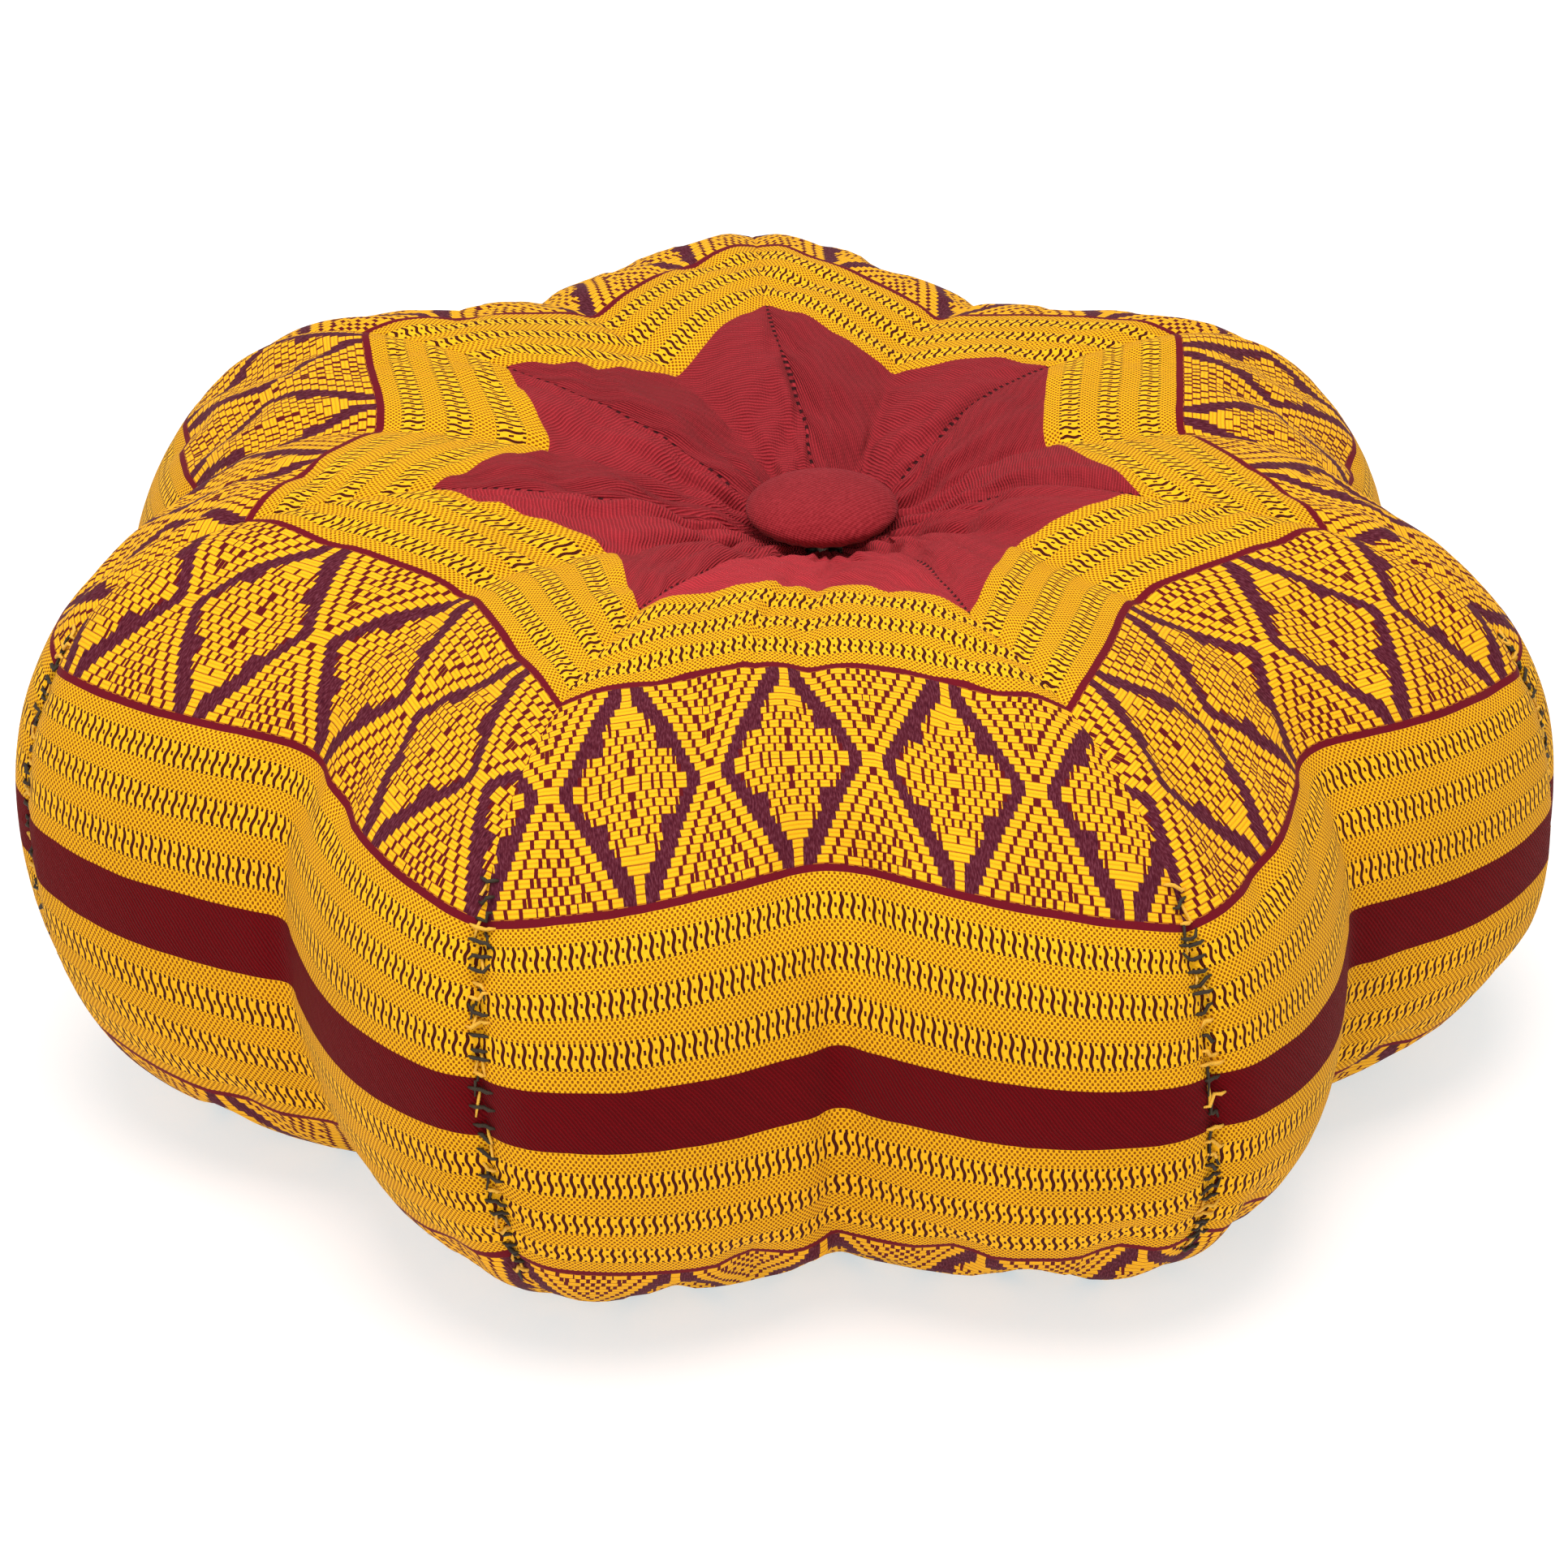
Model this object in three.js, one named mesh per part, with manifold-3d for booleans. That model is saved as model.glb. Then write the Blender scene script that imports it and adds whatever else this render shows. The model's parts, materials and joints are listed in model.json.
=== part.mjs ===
// Seven-lobed floor cushion, tufted through the middle by a button on each side.
//
// Seven woven strips run from the top centre over the side to the underside. Neighbouring
// strips are sewn together along the lobe crowns. A cloth partition is sewn to the middle
// of each strip and pulls it in, so the notches between the lobes lie at mid strip. The
// partitions make seven chambers, each filled with kapok and closed by hand along its crown.
//
// Millimetres, +Z up, floor at z = 0. Lobe 1 points along +Y. The origin is the middle of
// the cushion's footprint box, and the tufting axis stands a little behind it.
import * as THREE from 'three';
import { mergeVertices } from 'three/addons/utils/BufferGeometryUtils.js';
import Module from 'manifold-3d';

const wasm = await Module();
wasm.setup();

// ---- Driving dimensions ----
const LOBES = 7;
const CROWN_RADIUS = 225; // tufting axis to the widest point of a lobe
const NOTCH_DEPTH = 35; // how far a notch lies inside the crown radius
const GIRTH_HEIGHT = 88; // height of the widest line above the floor
const TOP_RISE = 94; // lobe top above the girth
const SAG_DROP = 96; // lobe underside below the girth before the floor flattens it
const VALLEY_DROP = 4; // notch line below the lobe crowns on the top and underside
const LOBE_FULLNESS = 0.95; // sides of a lobe at the girth: straight at 0, a round arc at 1
const NOTCH_SOFTNESS = 0.2; // share of half a lobe over which a notch is rounded
const TOP_DIMPLE = 28; // how deep the tuft pulls the top in
const BOTTOM_DIMPLE = 36; // how deep the tuft pulls the underside in
const DIMPLE_WIDTH = 50; // radius over which a tuft's pull dies away
const CLOTH = 1.2; // strip thickness
const PARTITION = 1; // partition thickness
const HOLE_RADIUS = 8; // opening in the cover for the tie cord
const CORE_RADIUS = 16; // clear space round the tie cord, free of kapok
const BUTTON_RADIUS = 22;
const BUTTON_HEIGHT = 12;
const BUTTON_RIM = 5; // height of the button's rounded lower edge
const BUTTON_HEM = 13; // radius of the opening in the button cloth's underside
const BUTTON_CLOTH = 1;
const EYE_RADIUS = 4; // centre line of the wire loop and of the tie cord's eye
const WIRE_RADIUS = 1; // wire of the button loop
const LOOP_NECK = 3; // button underside to the centre of the loop's bend
const LOOP_SHANK = 5; // wire inside the button core
const CORD_RADIUS = 2; // tie cord
const CORD_EYE_RADIUS = 1.25; // strand of the tie cord's eye
const STITCH_WIDTH = 3.5; // reach of a closing stitch to each side of the crown seam
const STITCH_PITCH = 9; // spacing of the closing stitches
const STITCH_COUNT = 10;
const THREAD_RADIUS = 0.7;
const GAP = 0.3; // air left between pieces that touch

// ---- Fineness of the faceted surfaces ----
const ROWS = 18; // facets of a strip from the top centre to the bottom centre
const LOBE_STEPS = [0, 0.25, 0.5, 0.7, 0.85, 1]; // facets from a crown to a notch
const BUTTON_SIDES = 16;
const RIM_STEPS = 2;
const DOME_STEPS = 5;
const WIRE_SIDES = 6;
const LOOP_STEPS = 12;
const THREAD_SIDES = 5;
const STITCH_STEPS = 2; // facets along one crossing of a closing stitch
const ROW_SPACING = 0.01; // rows are no closer together than this share of a quarter turn
const WELD = 1e-4; // points nearer than this are one point

// ---- Derived sizes ----
const LOBE_ANGLE = (2 * Math.PI) / LOBES;
const HALF_LOBE = LOBE_ANGLE / 2;
const NOTCH_RADIUS = CROWN_RADIUS - NOTCH_DEPTH;
const LINING = CLOTH + GAP; // depth at which the partitions end below the cover's face
const KAPOK_INSET = CLOTH + 2 * GAP; // depth of the kapok below the cover's face
const ROUNDNESS = 6; // flatness of the top, as a superellipse exponent
const SIDE_ROUNDNESS = 2.2; // flatness of the side, as a superellipse exponent
const FULLNESS_GROWTH = 4; // how late the lobes fill out between the tuft and the girth

const clothMaterial = new THREE.MeshStandardMaterial({ color: 0xb4712f, roughness: 0.85, metalness: 0 });
const maroonMaterial = new THREE.MeshStandardMaterial({ color: 0x7a1f2b, roughness: 0.8, metalness: 0 });
const cottonMaterial = new THREE.MeshStandardMaterial({ color: 0xd9cdb4, roughness: 0.9, metalness: 0 });
const kapokMaterial = new THREE.MeshStandardMaterial({ color: 0xece2c6, roughness: 1, metalness: 0 });
const threadMaterial = new THREE.MeshStandardMaterial({ color: 0x3a1c18, roughness: 0.7, metalness: 0 });
const woodMaterial = new THREE.MeshStandardMaterial({ color: 0xc09a66, roughness: 0.6, metalness: 0 });
const wireMaterial = new THREE.MeshStandardMaterial({ color: 0xb8b8b4, roughness: 0.35, metalness: 1 });

const cushion = new THREE.Group();

/** Adds one named piece, with a material of its own, to a group. */
function addPiece(group, name, geometry, material) {
  const mesh = new THREE.Mesh(geometry, material.clone());
  mesh.name = name;
  group.add(mesh);
  return mesh;
}

/** A geometry from a list of vectors and a list of triangles. */
function facetedGeometry(points, triangles) {
  const geometry = new THREE.BufferGeometry().setFromPoints(points);
  geometry.setIndex(triangles);
  return geometry;
}

// ---- Shape of the cushion ----

/**
 * Half outline of the cushion at a crown or a notch. `turn` is 0 at the top centre, 1 at
 * the girth and 2 at the bottom centre, and `inset` moves the outline inwards.
 */
function meridian(radius, rise, drop, topDimple, bottomDimple, turn, inset) {
  const share = Math.sin((turn * Math.PI) / 2);
  const level = (1 - share ** ROUNDNESS) ** (1 / SIDE_ROUNDNESS);
  const r = (radius - inset) * share;
  const pull = Math.exp(-((r / DIMPLE_WIDTH) ** 2));
  const top = (rise - inset) * level - topDimple * pull;
  const bottom = -(drop - inset) * level + bottomDimple * pull;
  return { r, z: GIRTH_HEIGHT + (turn < 1 ? top : bottom) };
}

function crownPoint(turn, inset) {
  return meridian(CROWN_RADIUS, TOP_RISE, SAG_DROP, TOP_DIMPLE, BOTTOM_DIMPLE, turn, inset);
}

function notchPoint(turn, inset) {
  const rise = TOP_RISE - VALLEY_DROP;
  const drop = SAG_DROP - VALLEY_DROP;
  const topDimple = TOP_DIMPLE - VALLEY_DROP;
  const bottomDimple = BOTTOM_DIMPLE - VALLEY_DROP;
  return meridian(NOTCH_RADIUS, rise, drop, topDimple, bottomDimple, turn, inset);
}

/** Turn at which the notch line is a given distance from the tufting axis, on the top. */
function turnAtNotchRadius(radius) {
  return (Math.asin(radius / NOTCH_RADIUS) * 2) / Math.PI;
}

/** Share of the way from a notch, at 0, to the crown, at 1. It starts gently, so the notch is soft. */
function shareFromNotch(across) {
  const soften = (gap) => Math.hypot(gap, NOTCH_SOFTNESS) - NOTCH_SOFTNESS;
  return soften(1 - Math.abs(across)) / soften(1);
}

/** Radius of a round lobe at an angle `aside` from its crown. Its arc runs from notch to notch. */
function arcLobeRadius(crownRadius, notchRadius, aside) {
  const halfChord = notchRadius * Math.sin(HALF_LOBE);
  const bulge = crownRadius - notchRadius * Math.cos(HALF_LOBE);
  const arcRadius = (halfChord ** 2 + bulge ** 2) / (2 * bulge);
  const centre = crownRadius - arcRadius;
  return centre * Math.cos(aside) + Math.sqrt(arcRadius ** 2 - (centre * Math.sin(aside)) ** 2);
}

/** Radius of a lobe with straight sides from its crown to its notches, like the point of a star. */
function starLobeRadius(crownRadius, notchRadius, aside) {
  const width = crownRadius * Math.sin(aside) + notchRadius * Math.sin(HALF_LOBE - aside);
  return (crownRadius * notchRadius * Math.sin(HALF_LOBE)) / width;
}

/**
 * A point of a lobe's face. `across` runs from -1 at one notch through 0 at the crown to 1
 * at the next notch. The lobes are star points near the tuft and fill out towards the girth.
 * The floor presses the underside flat.
 */
function lobePoint(lobe, across, turn, inset) {
  const crown = crownPoint(turn, inset);
  const notch = notchPoint(turn, inset);
  const share = shareFromNotch(across);
  const aside = (1 - share) * HALF_LOBE;
  const arc = arcLobeRadius(crown.r, notch.r, aside);
  const star = starLobeRadius(crown.r, notch.r, aside);
  const fullness = LOBE_FULLNESS * Math.sin((turn * Math.PI) / 2) ** FULLNESS_GROWTH;
  const r = star + (arc - star) * fullness;
  const z = crown.z - (crown.z - notch.z) * (1 - share) ** 2;
  return polarPoint(r, lobeAngle(lobe) - across * HALF_LOBE, Math.max(z, inset));
}

/** Lobe 1 points along +Y and the others follow it clockwise, seen from above. */
function lobeAngle(lobe) {
  return Math.PI / 2 - (lobe - 1) * LOBE_ANGLE;
}

function polarPoint(r, angle, z) {
  return new THREE.Vector3(r * Math.cos(angle), r * Math.sin(angle), z);
}

/** Evenly spaced turns from the top hole to the bottom hole of the cover. */
function coverTurns() {
  const first = turnAtNotchRadius(HOLE_RADIUS);
  return Array.from({ length: ROWS + 1 }, (_, row) => first + ((2 - 2 * first) * row) / ROWS);
}

// ---- Cover panels ----

/** The columns of one strip: from its left crown, past its notch, to its right crown. */
function panelColumns() {
  const left = LOBE_STEPS.map((across) => ({ lobeStep: 0, across }));
  const right = LOBE_STEPS.slice(0, -1).reverse().map((across) => ({ lobeStep: 1, across: -across }));
  return [...left, ...right];
}

/** Keeps the edge of a strip half a gap away from the crown seam. */
function panelPoint(strip, column, turn, inset) {
  const seamGap = GAP / 2 / (crownPoint(turn, inset).r * HALF_LOBE);
  const side = column.lobeStep === 0 ? 1 : -1;
  const across = side * Math.max(Math.abs(column.across), seamGap);
  return lobePoint(strip + column.lobeStep, across, turn, inset);
}

/** A thin closed shell: an outer grid of points, an inner grid, and the four edges between. */
function shellGeometry(outer, inner) {
  const rows = outer.length;
  const columns = outer[0].length;
  const points = [...outer.flat(), ...inner.flat()];
  const innerStart = rows * columns;
  const triangles = [];
  const at = (row, column) => row * columns + column;
  const quad = (a, b, c, d) => triangles.push(a, b, c, a, c, d);
  for (let row = 0; row < rows - 1; row += 1) {
    for (let column = 0; column < columns - 1; column += 1) {
      const a = at(row, column);
      const b = at(row, column + 1);
      const c = at(row + 1, column + 1);
      const d = at(row + 1, column);
      quad(a, b, c, d);
      quad(a + innerStart, d + innerStart, c + innerStart, b + innerStart);
    }
  }
  const edge = (a, b) => quad(a, b, b + innerStart, a + innerStart);
  for (let column = 0; column < columns - 1; column += 1) {
    edge(at(0, column + 1), at(0, column));
    edge(at(rows - 1, column), at(rows - 1, column + 1));
  }
  for (let row = 0; row < rows - 1; row += 1) {
    edge(at(row, 0), at(row + 1, 0));
    edge(at(row + 1, columns - 1), at(row, columns - 1));
  }
  return facetedGeometry(points, triangles);
}

function coverPanelGeometry(strip) {
  const columns = panelColumns();
  const row = (turn, inset) => columns.map((column) => panelPoint(strip, column, turn, inset));
  const face = (inset) => coverTurns().map((turn) => row(turn, inset));
  return shellGeometry(face(0), face(CLOTH));
}

// ---- Partitions ----

/** Turns from where the notch line is `radius` from the axis, round to the same place underneath. */
function turnsOutsideRadius(radius) {
  const first = turnAtNotchRadius(radius);
  const nearest = first + ROW_SPACING;
  const between = coverTurns().filter((turn) => turn > nearest && turn < 2 - nearest);
  return [first, ...between, 2 - first];
}

/** A flat wall standing in the plane of a notch, from beside the tie cord out to the cover. */
function partitionGeometry() {
  const turns = turnsOutsideRadius(CORE_RADIUS);
  const outline = turns.map((turn) => notchPoint(turn, LINING));
  const shape = new THREE.Shape(outline.map(({ r, z }) => new THREE.Vector2(r, Math.max(z, LINING))));
  const geometry = new THREE.ExtrudeGeometry(shape, { depth: PARTITION, bevelEnabled: false });
  geometry.translate(0, 0, -PARTITION / 2);
  geometry.rotateX(Math.PI / 2);
  return geometry;
}

// ---- Kapok ----

/** `across` of the point that stays clear of a partition standing in the notch plane. */
function acrossBesidePartition(turn) {
  const clearance = PARTITION / 2 + GAP;
  return 1 - Math.asin(clearance / notchPoint(turn, KAPOK_INSET).r) / HALF_LOBE;
}

/** The kapok of one lobe: a wedge between two partitions, rounded like the cover outside. */
function kapokGeometry(lobe) {
  const turns = turnsOutsideRadius(CORE_RADIUS);
  const steps = [...LOBE_STEPS.slice(1).map((step) => -step).reverse(), ...LOBE_STEPS];
  const rows = turns.map((turn) => {
    const edge = acrossBesidePartition(turn);
    return steps.map((step) => lobePoint(lobe, THREE.MathUtils.clamp(step, -edge, edge), turn, KAPOK_INSET));
  });
  return wedgeGeometry(rows);
}

/** Closes a grid of points: a strip joins its last row to its first, and a fan fills each side. */
function wedgeGeometry(rows) {
  const columns = rows[0].length;
  const points = rows.flat();
  const triangles = [];
  rows.forEach((_, row) => {
    const below = (row + 1) % rows.length;
    for (let column = 0; column < columns - 1; column += 1) {
      const a = row * columns + column;
      const b = below * columns + column;
      triangles.push(a, b + 1, b, a, a + 1, b + 1);
    }
  });
  for (const column of [0, columns - 1]) {
    const ring = rows.map((row) => row[column]);
    const hub = ring.reduce((sum, point) => sum.add(point), new THREE.Vector3()).divideScalar(rows.length);
    const hubIndex = points.push(hub) - 1;
    rows.forEach((_, row) => {
      const a = row * columns + column;
      const b = ((row + 1) % rows.length) * columns + column;
      const corners = column === 0 ? [hubIndex, a, b] : [hubIndex, b, a];
      triangles.push(...corners);
    });
  }
  return facetedGeometry(points, triangles);
}

// ---- Closing stitches ----

/** A round bar of small section along a curve. */
function barGeometry(curve, radius, sides, steps) {
  const corners = Array.from({ length: sides }, (_, side) => {
    const angle = (side * 2 * Math.PI) / sides;
    return new THREE.Vector2(radius * Math.cos(angle), radius * Math.sin(angle));
  });
  const section = new THREE.Shape(corners);
  return new THREE.ExtrudeGeometry(section, { steps, extrudePath: curve, bevelEnabled: false });
}

/** Thread sewn to and fro over a crown seam, centred on the girth. */
function closingStitchGeometry(lobe) {
  const lift = -(THREAD_RADIUS + GAP);
  const points = [];
  for (let stitch = 0; stitch <= 2 * STITCH_COUNT; stitch += 0.5) {
    const height = GIRTH_HEIGHT + ((STITCH_COUNT - stitch) * STITCH_PITCH) / 2;
    const turn = turnAtHeight(height, lift);
    const side = Math.cos(stitch * Math.PI);
    const across = (side * STITCH_WIDTH) / (crownPoint(turn, lift).r * HALF_LOBE);
    points.push(lobePoint(lobe, across, turn, lift));
  }
  const curve = new THREE.CatmullRomCurve3(points, false, 'catmullrom', 0.3);
  return barGeometry(curve, THREAD_RADIUS, THREAD_SIDES, 2 * STITCH_COUNT * STITCH_STEPS);
}

/** Turn at which the crown is at a given height on the side. */
function turnAtHeight(height, inset) {
  const half = height > GIRTH_HEIGHT ? TOP_RISE - inset : SAG_DROP - inset;
  const level = Math.abs(height - GIRTH_HEIGHT) / half;
  const share = (1 - level ** SIDE_ROUNDNESS) ** (1 / ROUNDNESS);
  const turn = (Math.asin(share) * 2) / Math.PI;
  return height > GIRTH_HEIGHT ? turn : 2 - turn;
}

// ---- Buttons, loops and the tie cord ----

/** A geometry as a solid that can be cut and joined. */
function toManifold(geometry) {
  const bare = geometry.clone();
  bare.deleteAttribute('normal');
  bare.deleteAttribute('uv');
  const merged = mergeVertices(bare, WELD);
  const mesh = new wasm.Mesh({
    numProp: 3,
    vertProperties: merged.attributes.position.array,
    triVerts: new Uint32Array(merged.index.array),
  });
  return new wasm.Manifold(mesh);
}

function fromManifold(solid) {
  const mesh = solid.getMesh();
  const geometry = new THREE.BufferGeometry();
  geometry.setAttribute('position', new THREE.BufferAttribute(mesh.vertProperties, 3));
  geometry.setIndex(new THREE.BufferAttribute(mesh.triVerts, 1));
  return geometry;
}

/** Half profile of a domed disc, from its top centre round the rim to its flat underside. */
function buttonProfile(inset) {
  const radius = BUTTON_RADIUS - inset;
  const dome = BUTTON_HEIGHT - BUTTON_RIM - inset;
  const rim = BUTTON_RIM - inset;
  const points = [new THREE.Vector2(0, BUTTON_RIM + dome)];
  for (let step = 1; step <= DOME_STEPS; step += 1) {
    const angle = ((1 - step / DOME_STEPS) * Math.PI) / 2;
    points.push(new THREE.Vector2(radius * Math.cos(angle), BUTTON_RIM + dome * Math.sin(angle)));
  }
  for (let step = 1; step <= RIM_STEPS; step += 1) {
    const angle = ((step / RIM_STEPS) * Math.PI) / 2;
    const x = radius - rim + rim * Math.cos(angle);
    points.push(new THREE.Vector2(x, BUTTON_RIM - rim * Math.sin(angle)));
  }
  return points;
}

/** Turns a half profile about the Z axis. It runs anticlockwise, with the axis on its left. */
function turnedGeometry(profile) {
  return new THREE.LatheGeometry(profile, BUTTON_SIDES).rotateX(Math.PI / 2);
}

/** The cloth drawn over the button and gathered round its underside. */
function buttonCoverGeometry() {
  const outside = [...buttonProfile(0), new THREE.Vector2(BUTTON_HEM, 0)];
  const inside = [...buttonProfile(BUTTON_CLOTH), new THREE.Vector2(BUTTON_HEM, BUTTON_CLOTH)];
  return turnedGeometry([...inside, ...outside.reverse()]);
}

/** The button's wooden core, drilled for the two shanks of the wire loop. */
function buttonCoreGeometry() {
  const inset = BUTTON_CLOTH + GAP;
  const profile = [...buttonProfile(inset), new THREE.Vector2(0, inset)].reverse();
  let core = toManifold(turnedGeometry(profile));
  const depth = LOOP_SHANK + GAP;
  for (const side of [-1, 1]) {
    const drill = new THREE.CylinderGeometry(WIRE_RADIUS + GAP, WIRE_RADIUS + GAP, 2 * depth, WIRE_SIDES);
    drill.rotateX(Math.PI / 2);
    drill.translate(side * EYE_RADIUS, 0, 0);
    core = core.subtract(toManifold(drill));
  }
  return fromManifold(core);
}

/** Centre line of the wire loop: down one shank, round the bend and up the other shank. */
class LoopCurve extends THREE.Curve {
  getPoint(t, target = new THREE.Vector3()) {
    const shank = LOOP_NECK + LOOP_SHANK;
    const bend = Math.PI * EYE_RADIUS;
    const run = t * (2 * shank + bend);
    if (run < shank) {
      return target.set(-EYE_RADIUS, 0, LOOP_SHANK - run);
    }
    if (run > shank + bend) {
      return target.set(EYE_RADIUS, 0, run - shank - bend - LOOP_NECK);
    }
    const angle = Math.PI + (run - shank) / EYE_RADIUS;
    return target.set(EYE_RADIUS * Math.cos(angle), 0, EYE_RADIUS * Math.sin(angle) - LOOP_NECK);
  }
}

function buttonLoopGeometry() {
  return barGeometry(new LoopCurve(), WIRE_RADIUS, WIRE_SIDES, LOOP_STEPS);
}

/** Height of a button's underside: it rests on the crown seams where they meet its rim. */
const RIM_TURN = (Math.asin(BUTTON_RADIUS / CROWN_RADIUS) * 2) / Math.PI;
const TOP_SEAT = crownPoint(RIM_TURN, 0).z + GAP;
const BOTTOM_SEAT = crownPoint(2 - RIM_TURN, 0).z - GAP;

/** Distance from a button's underside to the centre of the cord eye that its loop holds. */
const EYE_BELOW_SEAT = LOOP_NECK + 2 * EYE_RADIUS - WIRE_RADIUS - CORD_EYE_RADIUS - GAP;

/** The tie cord runs through the cushion and ends in an eye round each button's loop. */
function tieCordGeometry() {
  const topEye = TOP_SEAT - EYE_BELOW_SEAT;
  const bottomEye = BOTTOM_SEAT + EYE_BELOW_SEAT;
  const length = topEye - bottomEye - 2 * EYE_RADIUS;
  const cord = new THREE.CylinderGeometry(CORD_RADIUS, CORD_RADIUS, length, WIRE_SIDES);
  cord.rotateX(Math.PI / 2);
  cord.translate(0, 0, (topEye + bottomEye) / 2);
  let solid = toManifold(cord);
  for (const height of [topEye, bottomEye]) {
    const eye = new THREE.TorusGeometry(EYE_RADIUS, CORD_EYE_RADIUS, WIRE_SIDES, LOOP_STEPS);
    eye.rotateY(Math.PI / 2);
    eye.translate(0, 0, height);
    solid = solid.add(toManifold(eye));
  }
  return fromManifold(solid);
}

/** One covered button with its loop; its underside faces the cushion at `seat`. */
function addButton(parent, side, seat, turnedOver) {
  const button = new THREE.Group();
  button.position.z = seat;
  button.rotation.x = turnedOver ? Math.PI : 0;
  addPiece(button, `${side}_button_cloth`, buttonCoverGeometry(), maroonMaterial);
  addPiece(button, `${side}_button_core`, buttonCoreGeometry(), woodMaterial);
  addPiece(button, `${side}_button_loop`, buttonLoopGeometry(), wireMaterial);
  parent.add(button);
}

// ---- Assembly ----

for (let index = 1; index <= LOBES; index += 1) {
  addPiece(cushion, `cover_panel_${index}`, coverPanelGeometry(index), clothMaterial);
  addPiece(cushion, `kapok_filling_${index}`, kapokGeometry(index), kapokMaterial);
  addPiece(cushion, `closing_stitches_${index}`, closingStitchGeometry(index), threadMaterial);
  const partition = addPiece(cushion, `partition_${index}`, partitionGeometry(), cottonMaterial);
  partition.rotation.z = lobeAngle(index) - HALF_LOBE;
}
addPiece(cushion, 'tie_cord', tieCordGeometry(), cottonMaterial);
addButton(cushion, 'top', TOP_SEAT, false);
addButton(cushion, 'bottom', BOTTOM_SEAT, true);

// The origin is the middle of the footprint box, which an odd number of lobes puts off the axis.
const footprint = new THREE.Box3().setFromObject(cushion);
cushion.position.y = -(footprint.min.y + footprint.max.y) / 2;

export default cushion;
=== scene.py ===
import json
import math
import random

import bmesh
import bpy
import numpy as np
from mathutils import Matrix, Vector


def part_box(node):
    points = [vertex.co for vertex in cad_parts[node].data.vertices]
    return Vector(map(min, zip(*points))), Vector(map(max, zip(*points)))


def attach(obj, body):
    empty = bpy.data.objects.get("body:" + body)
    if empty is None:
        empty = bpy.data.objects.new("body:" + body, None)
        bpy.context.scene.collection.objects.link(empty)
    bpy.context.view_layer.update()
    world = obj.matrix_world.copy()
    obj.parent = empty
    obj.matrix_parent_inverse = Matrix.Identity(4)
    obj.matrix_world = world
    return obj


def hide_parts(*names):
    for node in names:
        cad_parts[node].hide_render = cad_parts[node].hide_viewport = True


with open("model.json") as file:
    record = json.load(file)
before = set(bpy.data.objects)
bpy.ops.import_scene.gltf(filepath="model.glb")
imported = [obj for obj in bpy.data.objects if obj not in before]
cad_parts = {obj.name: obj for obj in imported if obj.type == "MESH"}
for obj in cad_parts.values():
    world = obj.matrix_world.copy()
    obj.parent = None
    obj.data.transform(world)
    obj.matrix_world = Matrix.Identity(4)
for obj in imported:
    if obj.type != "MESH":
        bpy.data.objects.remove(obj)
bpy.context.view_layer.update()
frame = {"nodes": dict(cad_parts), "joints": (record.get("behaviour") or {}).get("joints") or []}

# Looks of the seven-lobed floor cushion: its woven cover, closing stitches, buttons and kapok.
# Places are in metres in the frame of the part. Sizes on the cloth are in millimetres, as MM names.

MM = 0.001

# ---- Sizes taken from the frame ----
AXIS = Vector(frame["joints"][0]["pos_m"])
LOBES = sum(name.startswith("cover_panel_") for name in frame["nodes"])
LOBE_ANGLE = 2 * math.pi / LOBES
LINING = 1.5 * MM  # the partitions end this far below the cover's face
CROWN_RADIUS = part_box("cover_panel_1")[1].y - AXIS.y
NOTCH_RADIUS = AXIS.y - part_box("partition_4")[0].y + LINING

# ---- Shape of the cushion, as the frame has it ----
GIRTH_HEIGHT = 88 * MM
TOP_RISE = 94 * MM
SAG_DROP = 96 * MM
VALLEY_DROP = 4 * MM
TOP_DIMPLE = 28 * MM
BOTTOM_DIMPLE = 36 * MM
DIMPLE_WIDTH = 50 * MM
ROUNDNESS = 6.0
SIDE_ROUNDNESS = 2.2
LOBE_FULLNESS = 0.95
FULLNESS_GROWTH = 4
NOTCH_SOFTNESS = 0.2
FLOOR_CONTACT = 0.5 * MM  # cloth lower than this rests on the floor

# ---- How this cushion sits, besides its regular shape ----
TWIST = 0.072  # radians that the top turns against the girth, for a crown radius of height
LEAN = 0.034  # rise of the cover's top towards -X, as a slope
TUFT_ASIDE = 11 * MM  # the buttons pull the middle of the cover this far towards +X
LOBE_REACHES_MM = (1.0, 2.0, 0.0, 3.0, -1.0, 0.5, -2.0)  # how much further each lobe is filled
LUMP_SIZE = 0.6 * MM
STRIP_PAINTED_LIGHT = (0.86, 0.90, 0.98, 1.26, 1.0, 0.90, 0.84)  # how light each strip's twill is painted in the star: painted sheen on the strip facing the light, painted shade on the others
SETTLE_FROM = 28 * MM  # the tufts hold the middle where it is, out to this radius
SETTLE_TO = 110 * MM
HAND_SEAM_MM = 62.0  # the crown seams are sewn by hand this far from the girth
GATHER_DEPTHS_MM = (0.8, 1.7, 2.2, 0.7, 2.3, 1.9, 0.9)  # one for each strip

# ---- Seams, puckers, gathers and tucks, as depths and widths in millimetres ----
SEAM_LINE_MM = (0.5, 0.9)
SEAM_GROOVE_MM = (0.7, 6.0)
HAND_GROOVE_MM = (0.7, 2.6)
PUCKER_MM = (0.55, 6.0)
PUCKER_PITCH_MM = 7.5
CREASE_MM = 0.2  # mean depth of the crease over a partition
CREASE_CHANGE_MM = 0.12
CREASE_WIDTH_MM = 6.0
TUFT_REACH_MM = 66.0  # the gathers run out this far from the buttons
GATHER_EDGE_MM = 5.0  # the crown seam holds this much of the cloth flat
FRONT_STRIP = 3
TUCK_MIDDLE_MM = 108.0
TUCK_LENGTH_MM = 26.0
TUCK_SIDE_MM = 12.0
TUCK_SLOPE = 0.10
TUCK_MM = (2.2, 1.5)
TUCK_FOLD_MM = (1.8, 3.2)
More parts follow.
